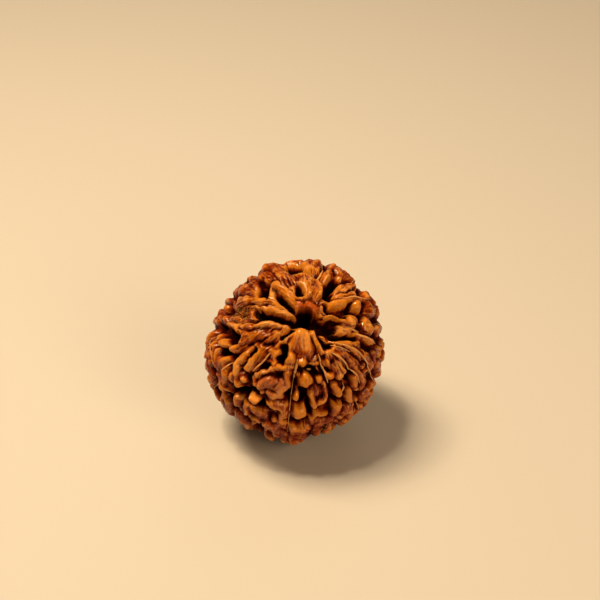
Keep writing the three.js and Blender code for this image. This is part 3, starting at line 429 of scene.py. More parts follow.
PAINTED_SHEEN_SPOTS = [
    (0.5, [(-4.6, 3.6), (-3.2, 3.8)]),
    (0.5, [(-8.6, 3.7), (-7.0, 3.6)]),
    (0.6, [(1.6, 2.3), (1.5, 0.9)]),
    (0.5, [(6.6, 8.4), (8.0, 8.2)]),
    (0.4, [(1.5, 9.6), (2.2, 9.5)]),
    (0.5, [(7.8, 4.0)]),
    (0.5, [(9.9, 3.2)]),
    (0.5, [(6.5, 2.9), (7.2, 2.9)]),
    (0.4, [(6.1, -3.2)]),
    (0.4, [(-5.7, -6.0), (-5.2, -6.1)]),
    (0.4, [(-6.9, -3.8)]),
    (0.4, [(-5.4, -3.0), (-4.4, -2.6), (-3.2, -2.3)]),
    (0.4, [(-1.6, -5.2), (-2.6, -5.9)]),
    (0.4, [(4.5, 10.0)]),
    (0.5, [(2.0, 11.4)]),
    (0.5, [(-7.2, -1.0), (-7.8, -2.4)]),
    (0.4, [(5.6, -1.6), (6.4, -2.0)]),
    (0.35, [(-3.1, 8.6), (-2.9, 7.4)]),
    (0.3, [(-2.4, 5.8), (-0.6, 5.2)]),
    (0.3, [(-2.2, 9.2), (-1.0, 8.5)]),
    (0.4, [(-7.6, 6.9), (-6.2, 7.1)]),
    (0.4, [(-9.8, 0.9), (-8.4, 0.6)]),
    (0.4, [(-5.6, -1.2), (-6.1, -2.0)]),
]

# The strokes that each mark of the finish covers
FINISH_PATCHES = {
    "smooth": SMOOTH_WARTS + SMOOTH_LOBES,
    "warm": SMOOTH_WARTS + WARM_RIDGES,
    "pale": PAINTED_SHEEN_SPOTS,
    "lip": RED_LIP,
    "worn": WORN_PATCH,
    "grainy": GRAINY_PATCHES,
}
PATCH_EDGE = (0.6, 1.5)  # half widths between which cover fades out

# Broad swells and hollows of the body: height, half width, point of the face map
BODY_SWELLS = [
    (0.6, 5.5, (6.5, 10.0)),
    (0.45, 3.5, (10.6, 6.2)),
    (-1.05, 4.5, (-8.9, 7.0)),
    (0.4, 1.6, (3.2, 12.4)),
    (0.4, 1.6, (-3.8, 12.0)),
    (0.35, 1.3, (-7.1, 8.9)),
    (-0.5, 1.5, (-9.0, 7.0)),
    (-0.3, 1.2, (-5.6, 10.8)),
    (-0.6, 2.0, (-10.8, 3.4)),
    (0.3, 3.0, (-0.8, -12.4)),
    (-1.0, 1.7, (-4.5, -10.6)),
    (-0.6, 3.5, (4.6, -11.0)),
    (-0.25, 3.0, (11.2, -3.0)),
    (-0.2, 3.0, (10.2, -6.8)),
]

# Wild ridges cover the sides that the face doesn't show, laid by a rule
WILD_COUNT = 430
WILD_SEED = 20261
WILD_HALF_WIDTH = (0.34, 0.6)
WILD_RISE = (0.85, 1.02)
WILD_HALF_LENGTH = (0.1, 1.05)
WILD_SEAM_GAP = 0.32
WILD_JITTER = 0.75
WILD_FACE_LIMIT = 0.36  # ridges and fibres laid by rule face the camera less than this
RADIAL_ZONE = math.radians(32)  # round each end, where ridges point at the hole
RADIAL_FREEDOM = 0.25  # share of a free heading that they keep there

# Low granules lie all over, and show in the gaps between the ridges
GRANULE_COUNT = 900
GRANULE_SEED = 77
GRANULE_HALF_WIDTH = (0.3, 0.6)
GRANULE_RISE = (0.15, 0.6)

# Seeded draws: the generator's factor and modulus, a step either way, and the turn of an even spiral
DRAW_FACTOR = 48271
DRAW_MODULUS = 2147483647
EITHER_WAY = (-0.5, 0.5)
GOLDEN_ANGLE = math.pi * (3 - math.sqrt(5))

# Fibres: how they are built, and how those in the far seams are drawn, in radians from the axis
FIBRE_STEP = 0.12
FIBRE_SIDES = 8
FIBRE_SMOOTHING = 6  # steps either way that level out the relief
FIBRE_RIDE = 0.8  # 0 at the mean height of those steps, 1 at their top
FIBRE_THICKNESS = 0.7  # as a share of the width
FIBRE_TIP = 0.02  # where along a half turn the taper starts
FIBRE_SEED = 5
FAR_FIBRE_START = (0.5, 1.1)
FAR_FIBRE_STOP = (1.5, 2.1)
FAR_FIBRE_SWAY = 0.03
FAR_FIBRE_WAVES = (3, 6)
FAR_FIBRE_PHASE = (0, 6)
FAR_FIBRE_HALF_WIDTH = (0.05, 0.09)

# How ridge strength turns into height
FOOT_SPREAD = 1.55  # of a ridge's foot over its half width
BELL = 1.4  # steepness of the bell curves
SHOULDER = (0.03, 0.8)  # strengths from floor to shoulder
DOME_REACH = 1.1  # in spread half widths
DOME_POWER = 2.2  # more makes the top flatter
PLATE_CAP = 0.85  # as a share of a dome
PLATE_EDGE = (0.5, 1.4)  # half widths between which it falls away
PIT_EDGE = (0.12, 0.9)  # strengths from rim to bottom
PIT_SPREAD = 1.25

# Smooth waves: how many make a ripple, and how far their lengths differ
RIPPLE_WAVES = 32
RIPPLE_SPREAD = (0.7, 1.4)

# Ripples that nudge every ridge and pit out of line
WANDER = 0.055
WANDER_LENGTH = 1.3
WANDER_SEEDS = (1, 2, 3)

# Ripples of the surface as height, wavelength, seed: round ones, and one drawn out away from the hole
ROUND_LUMPS = [(0.045, 1.5, 11), (0.025, 0.75, 12)]
DRAWN_LUMP = (0.02, 0.6, 13)
SMOOTHED_AWAY = 0.75  # share of the lumps that smooth places lack

# Thin wrinkles on the plates and ridges, which come in patches
WRINKLE_DEPTH = 0.05
WRINKLE_LENGTH = 2.0
WRINKLE_WIDTH = 0.35
WRINKLE_SEED = 21
WRINKLE_PATCH_LENGTH = 3.0
WRINKLE_PATCH_EDGE = (-0.6, 0.6)
WRINKLE_PATCH_SEED = 22

# The drum that patterns are drawn out on: its radius and length as shares of the bead's
DRUM_RADIUS = 0.8
DRUM_LENGTH = 0.25

# Noises of the finish as scale, detail, roughness: four in metres, and four in drawn-out millimetres
BLOTCH = (500, 2.0, 0.5)
MOTTLE = (1700, 3.0, 0.6)
GRAIN = (5000, 3.0, 0.6)
FIBRE_STREAK = (1500, 2.0, 0.5)
STREAK = (2.6, 4.0, 0.65)
VEIN = (1.3, 2.0, 0.5)
PORE = (4.5, 3.0, 0.6)
SCUFF_AND_GLINT = (5.0, 3.0, 0.6)
NOISE_MIDDLE = 0.5

# Slopes and offsets of straight lines that turn one value of the finish into another
VEIN_LINE = (-18.0, 1.0)
PORE_LINE = (-9.5, -0.75)
SCUFF_AND_GLINT_LINE = (9.0, -0.2)
CREST_LINE = (1 / (RELIEF + DOME_RISE), 0.0)
SUNK_LINE = (-0.8, 0.0)
RAISED_LINE = (2.9, -1.3)
BULGE_HIGHLIGHT_LINE = (-3.2, 0.0)
RUGGED_BY_SMOOTH = (-0.7, 1.0)
RUGGED_BY_FIBROUS = (0.4, 0.6)
STREAK_BY_FIBROUS = (0.65, 0.35)
WARM_BY_STREAK = (4.0, 0.6)
SHEEN_BY_STREAK = (3.0, 0.8)
WORN_BY_MOTTLE = (2.0, 0.6)
SPECK_BY_CREST = (0.7, 0.3)
SPECK_BY_GRAIN = (5.0, 0.0)
ROUGHNESS_BY_RAISED = (-0.2, 0.5)
ROUGHNESS_BY_GRAIN = (0.2, 0.0)
COAT_BY_RAISED = (0.6, 0.02)

# The tone of the stone, from 0 at its darkest to 1 at its palest: its start, and what each mark adds.
# The crest, sunk and blur marks make it lighter on the crests and darker in pits, hollows and creases:
# painted highlight and painted shade, partly a dark stain. The noises, veins, pores and grainy patches are
# the stone's own colour.
TONE_START = 0.47
TONE_ADDED = {
    "crest": 0.14,
    "sunk": -0.5,
    "stain": -0.45,
    "hollow": -0.2,
    "crease": -1.6,
    "vein": -0.14,
    "pore": -0.35,
    "grainy": -0.07,
    "streak": 1.5,
    "mottle": 0.4,
    "blotch": 0.5,
    "grain": 0.15,
}
TONES = [
    (0.0, (0.012, 0.0012, 0.0004)),
    (0.25, (0.025, 0.0014, 0.0003)),
    (0.42, (0.068, 0.0055, 0.0003)),
    (0.56, (0.12, 0.0115, 0.0004)),
    (0.7, (0.175, 0.022, 0.0005)),
    (0.82, (0.245, 0.04, 0.0008)),
    (0.92, (0.33, 0.074, 0.002)),
    (1.0, (0.48, 0.165, 0.015)),
]

# Colours laid over the tone, in order: the most of each that shows, and the colour. The pale flecks are
# partly scuffs and partly painted glints, the pale spots are painted sheen, and the warm amber is brightest,
# as painted highlight, on the rounded middles of the warts.
OVERLAYS = {
    "scuff_and_glint": (0.65, (0.6, 0.26, 0.07, 1.0)),
    "warm": (0.65, (0.56, 0.2, 0.012, 1.0)),
    "pale": (0.8, (0.64, 0.27, 0.06, 1.0)),
    "worn": (0.7, (0.48, 0.18, 0.07, 1.0)),
    "lip": (0.9, (0.42, 0.075, 0.005, 1.0)),
    "speck": (1.0, (0.62, 0.29, 0.08, 1.0)),
}

# Fine roughness: what each mark adds to its height, and how strongly that bends the light
BUMP_ADDED = {"grain": 0.3, "mottle": 1.0, "streak": 3.0, "vein": -0.8}
BUMP_STRENGTH = 0.5
BUMP_DISTANCE = 0.0003

# The oil on the stone, and the finishes of the fibres and the floor
OIL = {
    "Specular_IOR_Level": 0.01,
    "Specular_Tint": (1.0, 0.45, 0.12, 1.0),
    "Coat_Roughness": 0.07,
    "Coat_IOR": 1.45,
    "Coat_Tint": (1.0, 0.85, 0.65, 1.0),
}
FIBRE_COLOURS = [(0.36, 0.12, 0.02, 1.0), (0.78, 0.38, 0.12, 1.0)]
FIBRE_ROUGHNESS = 0.5
FLOOR_COLOUR = (0.49, 0.455, 0.49, 1.0)
FLOOR_ROUGHNESS = 0.7
FLOOR_SIZE = 4

# Lights: name, place and size in millimetres, power in watts, colour
LIGHTS = [
    ("key", (-125, 40, 300), 120, 1.4, (1.0, 0.78, 0.42)),
    ("glint", (-75, -10, 320), 28, 0.32, (1.0, 0.8, 0.46)),
    ("fill", (190, -220, 160), 200, 0.67, (1.0, 0.75, 0.4)),
    ("back", (90, 260, 220), 200, 0.1, (1.0, 0.84, 0.58)),
]
ROOM_COLOUR = (1.0, 0.74, 0.38, 1.0)
ROOM_STRENGTH = 0.12

to_viewer = np.array([0.0, -math.cos(VIEW_ELEVATION), math.sin(VIEW_ELEVATION)])
view_up = np.array([0.0, math.sin(VIEW_ELEVATION), math.cos(VIEW_ELEVATION)])
view_right = np.array([1.0, 0.0, 0.0])


def smoothstep(edges, x):
    """0 below the first edge, 1 above the second, and a smooth cubic between them."""
    t = np.clip((x - edges[0]) / (edges[1] - edges[0]), 0, 1)
    return t * t * (3 - 2 * t)


def face_directions(points, radius):
    """Directions from the bead's middle to where the camera's rays through points of the face map meet a
    ball. Past the ball's outline the map runs on round the back, a millimetre for a millimetre."""
    flat = np.atleast_2d(np.asarray(points, float))
    outline = OUTLINE_SHARE * radius / np.sqrt(1 - (radius / VIEW_DISTANCE) ** 2)
    reached = np.maximum(np.linalg.norm(flat, axis=1), TINY)
    beyond = np.maximum(reached - outline, 0) / radius
    flat = flat * np.minimum(1, outline / reached)[:, None]
    eye = to_viewer * VIEW_DISTANCE
    rays = flat[:, :1] * view_right + flat[:, 1:] * view_up - eye
    a = (rays * rays).sum(axis=1)
    b = rays @ eye
    reach = (-b - np.sqrt(b * b - a * (VIEW_DISTANCE**2 - radius**2))) / a
    met = eye + reach[:, None] * rays
    met /= np.linalg.norm(met, axis=1)[:, None]
    facing = met @ to_viewer
    heading = met - facing[:, None] * to_viewer
    heading /= np.maximum(np.linalg.norm(heading, axis=1), TINY)[:, None]
    turn = np.arccos(np.clip(facing, -1, 1)) + beyond
    return np.cos(turn)[:, None] * to_viewer + np.sin(turn)[:, None] * heading


axis = face_directions([HOLE_ON_FACE], MOUTH_RADIUS)[0]
front = to_viewer - axis * (to_viewer @ axis)
front /= np.linalg.norm(front)
side = np.cross(axis, front)


def bead_direction(longitude, angle):
    """Direction at a longitude and an angle from the axis: cosine along the axis, sine round it."""
    longitude, angle = np.broadcast_arrays(longitude, angle)
    across = np.cos(longitude)[..., None] * front + np.sin(longitude)[..., None] * side
    return np.cos(angle)[..., None] * axis + np.sin(angle)[..., None] * across


def seeded_draws(seed):
    """The minimal standard generator: the same numbers between two limits for the same seed."""
    state = seed

    def draw(low, high):
        nonlocal state
        state = state * DRAW_FACTOR % DRAW_MODULUS
        return low + (high - low) * state / DRAW_MODULUS

    return draw


def clear_of_seams(longitude, clearance):
    """Longitude moved sideways, if need be, to stand clear of the nearest seam."""
    for seam in SEAMS:
        gap = math.remainder(longitude - math.radians(seam), 2 * math.pi)
        if abs(gap) < clearance:
            return math.radians(seam) + math.copysign(clearance, gap)
    return longitude


def wild_ridges():
    """Points of an even spiral, jittered, kept off the seams and drawn out into short ridges."""
    draw = seeded_draws(WILD_SEED)
    spacing = math.sqrt(4 * math.pi / WILD_COUNT)
    ridges = []
    for i in range(WILD_COUNT):
        angle = math.acos(1 - (2 * i + 1) / WILD_COUNT) + spacing * WILD_JITTER * draw(*EITHER_WAY)
        girth = CREST_RADIUS * math.sin(angle)
        turn = i * GOLDEN_ANGLE + spacing * WILD_JITTER / math.sin(angle) * draw(*EITHER_WAY)
        half_width = draw(*WILD_HALF_WIDTH)
        rise = draw(*WILD_RISE)
        half_length = draw(*WILD_HALF_LENGTH)
        any_heading = draw(0, math.pi)
        near_end = min(angle, math.pi - angle) < RADIAL_ZONE
        heading = RADIAL_FREEDOM * (any_heading - math.pi / 2) if near_end else any_heading
        clearance = (half_width + WILD_SEAM_GAP) / girth
        ends = []
        for along in (-half_length, half_length):
            end_turn = clear_of_seams(turn + along * math.sin(heading) / girth, clearance)
            ends.append(bead_direction(end_turn, angle + along * math.cos(heading) / CREST_RADIUS))
        middle = ends[0] + ends[1]
        if middle @ to_viewer / np.linalg.norm(middle) < WILD_FACE_LIMIT:
            ridges.append((half_width, rise, np.array(ends)))
    return ridges


def low_granules():
    """Small warts on the points of an even spiral, jittered."""
    draw = seeded_draws(GRANULE_SEED)
    spacing = math.sqrt(4 * math.pi / GRANULE_COUNT)
    granules = []
    for i in range(GRANULE_COUNT):
        angle = math.acos(1 - (2 * i + 1) / GRANULE_COUNT) + spacing * draw(*EITHER_WAY)
        turn = i * GOLDEN_ANGLE + spacing / math.sin(angle) * draw(*EITHER_WAY)
        half_width = draw(*GRANULE_HALF_WIDTH)
        rise = draw(*GRANULE_RISE)
        granules.append((half_width, rise, bead_direction(turn, angle)[None, :]))
    return granules


def distance_to(directions, crest):
    """Least distance, in millimetres on the crest ball, from each direction to a line of directions."""
    least = np.linalg.norm(directions - crest[0], axis=1)
    for start, end in zip(crest, crest[1:]):
        run = end - start
        share = np.clip((directions @ run - start @ run) / (run @ run), 0, 1)
        least = np.minimum(least, np.linalg.norm(directions - start - share[:, None] * run, axis=1))
    return least * CREST_RADIUS


def body_swell(directions):
    """Broad departures from a ball: the sum of wide bell curves."""
    swell = np.zeros(len(directions))
    for rise, half_width, middle in SWELLS:
        swell += rise * np.exp(-((distance_to(directions, middle) / half_width) ** 2))
    return swell


def on_face(points):
    """Directions to points of the face map, on the swollen body at the height of the crests."""
    ball = face_directions(points, FACE_RADIUS)
    return face_directions(points, FACE_RADIUS + body_swell(ball))


def aslant(points):
    """How much wider a mark near the edge of the face must be to look as wide as one in its middle."""
    return 1 / math.sqrt(max(LEAST_FACING, (on_face(points) @ to_viewer).mean()))


SWELLS = [(rise, w, face_directions([point], FACE_RADIUS)) for rise, w, point in BODY_SWELLS]
RIDGES = [(w, rise, on_face(points)) for w, rise, points in FACE_RIDGES]
RIDGES += wild_ridges()
RIDGES.append((REST_SPOT_RADIUS, 1.0, np.array([[0.0, 0.0, -1.0]])))
PLATES = [(w, rise, on_face(points)) for w, rise, points in FACE_PLATES]
CREASES = [(w, drop, on_face(points)) for w, drop, points in EDGE_GAPS + FACE_CREASES]
GRANULES = low_granules()
PITS = [(w * aslant(points), on_face(points)) for w, points in FACE_PITS]


def ripple(points, wavelength, seed):
    """Smooth lumps about one wavelength across: the sum of plane waves in seeded directions."""
    draws = np.random.default_rng(seed)
    headings = draws.normal(size=(RIPPLE_WAVES, 3))
    headings /= np.linalg.norm(headings, axis=1)[:, None]
    headings *= 2 * math.pi / wavelength * draws.uniform(*RIPPLE_SPREAD, (RIPPLE_WAVES, 1))
    phases = draws.uniform(0, 2 * math.pi, RIPPLE_WAVES)
    return np.sin(points @ headings.T + phases).sum(axis=1) / math.sqrt(RIPPLE_WAVES / 2)


def body_dip(directions):
    """Depth of the valleys along the seams and of the funnels at the ends of the hole."""
    upright = np.clip(directions @ axis, -1, 1)
    from_end = np.degrees(np.arccos(np.abs(upright)))
    longitude = np.arctan2(directions @ side, directions @ front)
    girth = CREST_RADIUS * np.sqrt(1 - upright**2)
    turns = longitude[:, None] - np.radians(SEAMS)
    to_seam = girth * np.abs(2 * np.sin(turns / 2)).min(axis=1)
    valley = SEAM_VALLEY_DEPTH * np.exp(-((to_seam / SEAM_VALLEY_HALF_WIDTH) ** 2))
    return valley + FUNNEL_DEPTH * (1 - smoothstep(FUNNEL_ANGLE, from_end))


def wander(directions):
    """Directions nudged by smooth lumps, which makes every ridge and pit irregular."""
    points = directions * CREST_RADIUS
    nudge = np.stack([ripple(points, WANDER_LENGTH, seed) for seed in WANDER_SEEDS], axis=1)
    nudged = points + WANDER * nudge
    return nudged / np.linalg.norm(nudged, axis=1)[:, None]


def relief(directions):
    """Height above the floor of the gaps: merged ridges with domes, low granules between them, creases, and
    pits that sink through."""
    directions = wander(directions)
    strength = np.zeros(len(directions))
    lift = np.zeros(len(directions))
    dome = np.zeros(len(directions))
    for half_width, rise, crest in RIDGES:
        away = distance_to(directions, crest) / (half_width * FOOT_SPREAD)
        bell = np.exp(-BELL * away**2)
        strength += bell
        lift += bell * rise
        dome = np.maximum(dome, rise * (1 - (away / DOME_REACH) ** DOME_POWER))
    for half_width, rise, crest in PLATES:
        away = distance_to(directions, crest) / half_width
        bell = np.exp(-BELL * away**2)
        strength += bell
        lift += bell * rise
        dome = np.maximum(dome, PLATE_CAP * rise * (1 - smoothstep(PLATE_EDGE, away)))
    granule = np.zeros(len(directions))
    for half_width, rise, crest in GRANULES:
        away = distance_to(directions, crest) / half_width
        granule = np.maximum(granule, rise * (1 - away**2))
    sunk = np.zeros(len(directions))
    for half_width, crest in PITS:
        sunk += np.exp(-BELL * (distance_to(directions, crest) / (half_width * PIT_SPREAD)) ** 2)
    shoulder = smoothstep(SHOULDER, strength) * lift / np.maximum(strength, TINY)
    risen = RELIEF * np.hypot(shoulder, granule) + DOME_RISE * dome
    for half_width, drop, crest in CREASES:
        risen -= drop * np.exp(-((distance_to(directions, crest) / half_width) ** 2))
    depth = smoothstep(PIT_EDGE, sunk)
    return risen * (1 - depth) + (PIT_GRANULE_RISE * granule - PIT_DEPTH) * depth


def drawn_out(directions):
    """Places on a drum about the axis, in millimetres, shortened along it, so that patterns run away from
    the hole."""
    longitude = np.arctan2(directions @ side, directions @ front)
    along = DRUM_LENGTH * np.arccos(np.clip(directions @ axis, -1, 1))
    right = DRUM_RADIUS * np.sin(longitude)
    forward = DRUM_RADIUS * np.cos(longitude)
    return CREST_RADIUS * np.stack([forward, right, along], axis=1)


def wrinkles(directions):
    """1 along thin winding lines that mostly run away from the hole, 0 between them: the lines where a smooth
    ripple, drawn out along the axis, crosses zero."""
    crossing = ripple(drawn_out(directions), WRINKLE_LENGTH, WRINKLE_SEED) / WRINKLE_WIDTH
    patches = ripple(directions * CREST_RADIUS, WRINKLE_PATCH_LENGTH, WRINKLE_PATCH_SEED)
    return np.exp(-(crossing**2)) * smoothstep(WRINKLE_PATCH_EDGE, patches)


def patch(directions, strokes):
    """1 in the middle of the strokes, and 0 from half of their half width outside them."""
    cover = np.zeros(len(directions))
    for half_width, points in strokes:
        away = distance_to(directions, on_face(points)) / half_width
        cover = np.maximum(cover, 1 - smoothstep(PATCH_EDGE, away))
    return cover


def surface_radius(directions):
    """Distance from the bead's middle to its surface, and the relief there. The underside is worn flat."""
    height = relief(directions)
    rise, wavelength, seed = DRAWN_LUMP
    lumps = rise * ripple(drawn_out(directions), wavelength, seed) - WRINKLE_DEPTH * wrinkles(directions)
    for rise, wavelength, seed in ROUND_LUMPS:
        lumps += rise * ripple(directions * CREST_RADIUS, wavelength, seed)
    lumps *= 1 - SMOOTHED_AWAY * patch(directions, FINISH_PATCHES["smooth"])
    radius = FLOOR_RADIUS + height + lumps + body_swell(directions) - body_dip(directions)
    downward = np.maximum(-directions[:, 2], TINY)
    return np.minimum(radius, np.where(directions[:, 2] < 0, MIDDLE_HEIGHT / downward, np.inf)), height


def smoothed(radius, angle, spread):
    """A grid of radii blurred by a bell curve of one spread all over: by frequency round the axis, and by
    weights from row to row."""
    frequency = np.fft.rfftfreq(STEPS_ROUND, 1 / STEPS_ROUND)
    turn = spread / (CREST_RADIUS * np.sin(angle))
    keep = np.exp(-0.5 * (frequency * turn[:, None]) ** 2)
    rounded = np.fft.irfft(np.fft.rfft(radius, axis=1) * keep, STEPS_ROUND, axis=1)
    weights = np.exp(-0.5 * ((angle[:, None] - angle) * CREST_RADIUS / spread) ** 2)
    return weights / weights.sum(axis=1)[:, None] @ rounded


def grid_faces(rows, columns):
    """Quads of a grid that closes on itself both ways."""
    corner = np.arange(rows * columns).reshape(rows, columns)
    right = np.roll(corner, -1, axis=1)
    below = np.roll(corner, -1, axis=0)
    return np.stack([corner, below, np.roll(below, -1, axis=1), right], axis=-1).reshape(-1, 4)


def mesh_piece(name, points, faces, material, attributes):
    """A smooth mesh object in metres at the origin, with numbers or vectors per vertex as attributes."""
    mesh = bpy.data.meshes.new(name)
    mesh.from_pydata((points * MM).tolist(), [], faces.tolist())
    for key, values in attributes.items():
        kind, field = ("FLOAT", "value") if values.ndim == 1 else ("FLOAT_VECTOR", "vector")
        layer = mesh.attributes.new(key, kind, "POINT")
        layer.data.foreach_set(field, np.asarray(values, np.float32).reshape(-1))
    mesh.shade_smooth()
    mesh.materials.append(material)
    piece = bpy.data.objects.new(name, mesh)
    bpy.context.scene.collection.objects.link(piece)
    return piece


def bead_stone(material):
    """The bead as a closed tube: longitude round the axis, and from the upper mouth over the outside to the
    lower mouth and back up through the hole. Outside, the distance from the middle is the surface radius."""
    longitude = np.linspace(0, 2 * math.pi, STEPS_ROUND, endpoint=False)
    mouth = math.asin(HOLE_RADIUS / MOUTH_RADIUS)
    angle = np.linspace(mouth, math.pi - mouth, STEPS_ALONG)
    directions = bead_direction(longitude[None, :], angle[:, None]).reshape(-1, 3)
    radius, height = surface_radius(directions)
    outside = (directions * radius[:, None]).reshape(STEPS_ALONG, STEPS_ROUND, 3)
    share = np.linspace(0, 1, STEPS_IN_HOLE + 2)[1:-1, None, None]
    wall = outside[-1] * (1 - share) + outside[0] * share
    points = np.concatenate([outside, wall]).reshape(-1, 3)
    grid = radius.reshape(STEPS_ALONG, STEPS_ROUND)
    wandered = wander(directions)
    from_end = np.degrees(np.arccos(np.abs(directions @ axis)))

    def with_hole(values, inside=0.0):
        """Values of the outside, followed by one value all along the hole."""
        wall_values = np.full((STEPS_IN_HOLE * STEPS_ROUND, *values.shape[1:]), inside)
        return np.concatenate([values, wall_values])

    marks = {
        "flow": with_hole(drawn_out(wandered)),
        "height": with_hole(height, -PIT_DEPTH),
        "fibrous": with_hole(1 - smoothstep(FIBROUS_ANGLE, from_end)),
    }
    for key, spread in BLURS.items():
        marks[key] = with_hole((smoothed(grid, angle, spread) - grid).reshape(-1))
    for key, strokes in FINISH_PATCHES.items():
        marks[key] = with_hole(patch(wandered, strokes))
    points[:, 2] += MIDDLE_HEIGHT
    faces = grid_faces(STEPS_ALONG + STEPS_IN_HOLE, STEPS_ROUND)
    return mesh_piece("bead_stone", points, faces, material, marks)


def along_line(points, step):
    """Points of a smooth line through a few face points: a Catmull-Rom spline at about one step's spacing."""
    knots = np.vstack([2 * points[0] - points[1], points, 2 * points[-1] - points[-2]])
    runs = []
    for a, b, c, d in zip(knots, knots[1:], knots[2:], knots[3:]):
        t = np.linspace(0, 1, max(2, round(np.linalg.norm(c - b) / step)), endpoint=False)[:, None]
        bend = (2 * a - 5 * b + 4 * c - d) * t**2 + (3 * b - a - 3 * c + d) * t**3
        runs.append(b + 0.5 * ((c - a) * t + bend))
    return np.vstack(runs + [points[-1:]])


def fibre_paths():
    """Half width and directions of each fibre: on the face by its map, and in the far seams by longitude."""
    paths = []
    for half_width, points in FACE_FIBRES:
        paths.append((half_width, on_face(along_line(np.array(points), FIBRE_STEP))))
    draw = seeded_draws(FIBRE_SEED)
    for seam in SEAMS:
        angle = np.arange(draw(*FAR_FIBRE_START), draw(*FAR_FIBRE_STOP), FIBRE_STEP / CREST_RADIUS)
        swing = np.sin(angle * draw(*FAR_FIBRE_WAVES) + draw(*FAR_FIBRE_PHASE))
        path = bead_direction(math.radians(seam) + FAR_FIBRE_SWAY * swing / np.sin(angle), angle)
        hidden = path @ to_viewer < WILD_FACE_LIMIT
        if hidden.sum() > 2 * FIBRE_SMOOTHING:
            paths.append((draw(*FAR_FIBRE_HALF_WIDTH), path[hidden]))
    return paths


def seam_fibres(material):
    """Flat fibres laid over the ridges: along each path the middle line follows the surface, smoothed, and
    carries an oval section that narrows almost to nothing at both ends."""
    points = []
    faces = []
    start = 0
    for half_width, path in fibre_paths():
        radius = surface_radius(path)[0]
        padded = np.pad(radius, FIBRE_SMOOTHING, "edge")
        window = np.lib.stride_tricks.sliding_window_view(padded, 2 * FIBRE_SMOOTHING + 1)
        ride = (1 - FIBRE_RIDE) * window.mean(axis=1) + FIBRE_RIDE * window.max(axis=1)
        middle = path * ride[:, None]
        onward = np.gradient(middle, axis=0)
        onward /= np.linalg.norm(onward, axis=1)[:, None]
        across = np.cross(path, onward)
        half_turn = np.linspace(FIBRE_TIP, math.pi - FIBRE_TIP, len(path))
        taper = np.sqrt(np.sin(half_turn)) * half_width
        turn = np.linspace(0, 2 * math.pi, FIBRE_SIDES, endpoint=False)
        upward = FIBRE_THICKNESS * np.sin(turn)[:, None] * path[:, None, :]
        oval = np.cos(turn)[:, None] * across[:, None, :] + upward
        points.append((middle[:, None, :] + taper[:, None, None] * oval).reshape(-1, 3))
        ring = np.arange(FIBRE_SIDES)
        row = start + FIBRE_SIDES * np.arange(len(path) - 1)[:, None]
        nearer = row + ring
        further = row + np.roll(ring, -1)
        quads = np.stack([nearer, further, further + FIBRE_SIDES, nearer + FIBRE_SIDES], axis=-1)
        faces.append(quads.reshape(-1, 4))
        start += FIBRE_SIDES * len(path)
    points = np.vstack(points)
    points[:, 2] += MIDDLE_HEIGHT
    return mesh_piece("seam_fibres", points, np.vstack(faces), material, {})


class Wire:
    """A shader socket that arithmetic works on: each operator adds one Math node."""

    def __init__(self, paint, socket):
        self.paint = paint
        self.socket = socket

    def __add__(self, other):
        return self.paint.math("ADD", self, other)

    def __sub__(self, other):
        return self.paint.math("SUBTRACT", self, other)

    def __rsub__(self, other):
        return self.paint.math("SUBTRACT", other, self)

    def __mul__(self, other):
        return self.paint.math("MULTIPLY", self, other)

    def __abs__(self):
        return self.paint.math("ABSOLUTE", self, 0.0)

    __radd__ = __add__
    __rmul__ = __mul__


class Paint:
    """A material under construction."""

    def __init__(self, name):
        self.material = bpy.data.materials.new(name)
        self.material.use_nodes = True
        self.tree = self.material.node_tree
        self.shader = self.tree.nodes["Principled BSDF"]

    def put(self, socket, value):
        """Links a wire to a socket, or sets the socket to a plain value."""
        if isinstance(value, Wire):
            self.tree.links.new(value.socket, socket)
        else:
            socket.default_value = value

    def node(self, kind, settings, inputs, output=0):
        """Adds a node: its settings first, then the values or wires of its sockets."""
        node = self.tree.nodes.new(kind)
        for key, value in settings.items():
            if key == "stops":
                ramp = node.color_ramp
                while len(ramp.elements) < len(value):
                    ramp.elements.new(1.0)
                for element, (place, colour) in zip(ramp.elements, value):
                    element.position = place
                    element.color = (*colour, 1.0)
            else:
                setattr(node, key, value)
        for key, value in inputs.items():
            self.put(node.inputs[key], value)
        return Wire(self, node.outputs[output])

    def math(self, operation, a, b):
        return self.node("ShaderNodeMath", {"operation": operation}, {0: a, 1: b})

    def clamp(self, value):
        return self.node("ShaderNodeClamp", {}, {0: value})

    def line(self, value, slope_and_offset):
        """A value times a slope, plus an offset."""
        slope, offset = slope_and_offset
        return value * slope + offset

    def cover(self, value, slope_and_offset):
        """A straight line kept between 0 and 1."""
        return self.clamp(self.line(value, slope_and_offset))

    def total(self, start, shares, marks):
        """A start plus a share of each named mark."""
        for key, share in shares.items():
            start = start + marks[key] * share
        return start

    def mix(self, factor, a, b):
        """Colour a where the factor is 0, colour b where it is 1."""
        return self.node("ShaderNodeMix", {"data_type": "RGBA"}, {0: factor, 6: a, 7: b}, 2)

    def attribute(self, name, output="Fac"):
        return self.node("ShaderNodeAttribute", {"attribute_name": name}, {}, output)

    def ramp(self, factor, stops):
        return self.node("ShaderNodeValToRGB", {"stops": stops}, {0: factor})

    def noise(self, scale, detail, roughness, place=None):
        """Smooth noise that swings about 0, over the object's metres unless another place is given."""
        place = place or self.node("ShaderNodeTexCoord", {}, {}, "Object")
        sockets = {"Vector": place, "Scale": scale, "Detail": detail, "Roughness": roughness}
        return self.node("ShaderNodeTexNoise", {}, sockets, "Fac") - NOISE_MIDDLE

    def finish(self, **sockets):
        """Feeds the shader: names are the shader's own, with _ for a space."""
        for key, value in sockets.items():
            self.put(self.shader.inputs[key.replace("_", " ")], value)
        return self.material


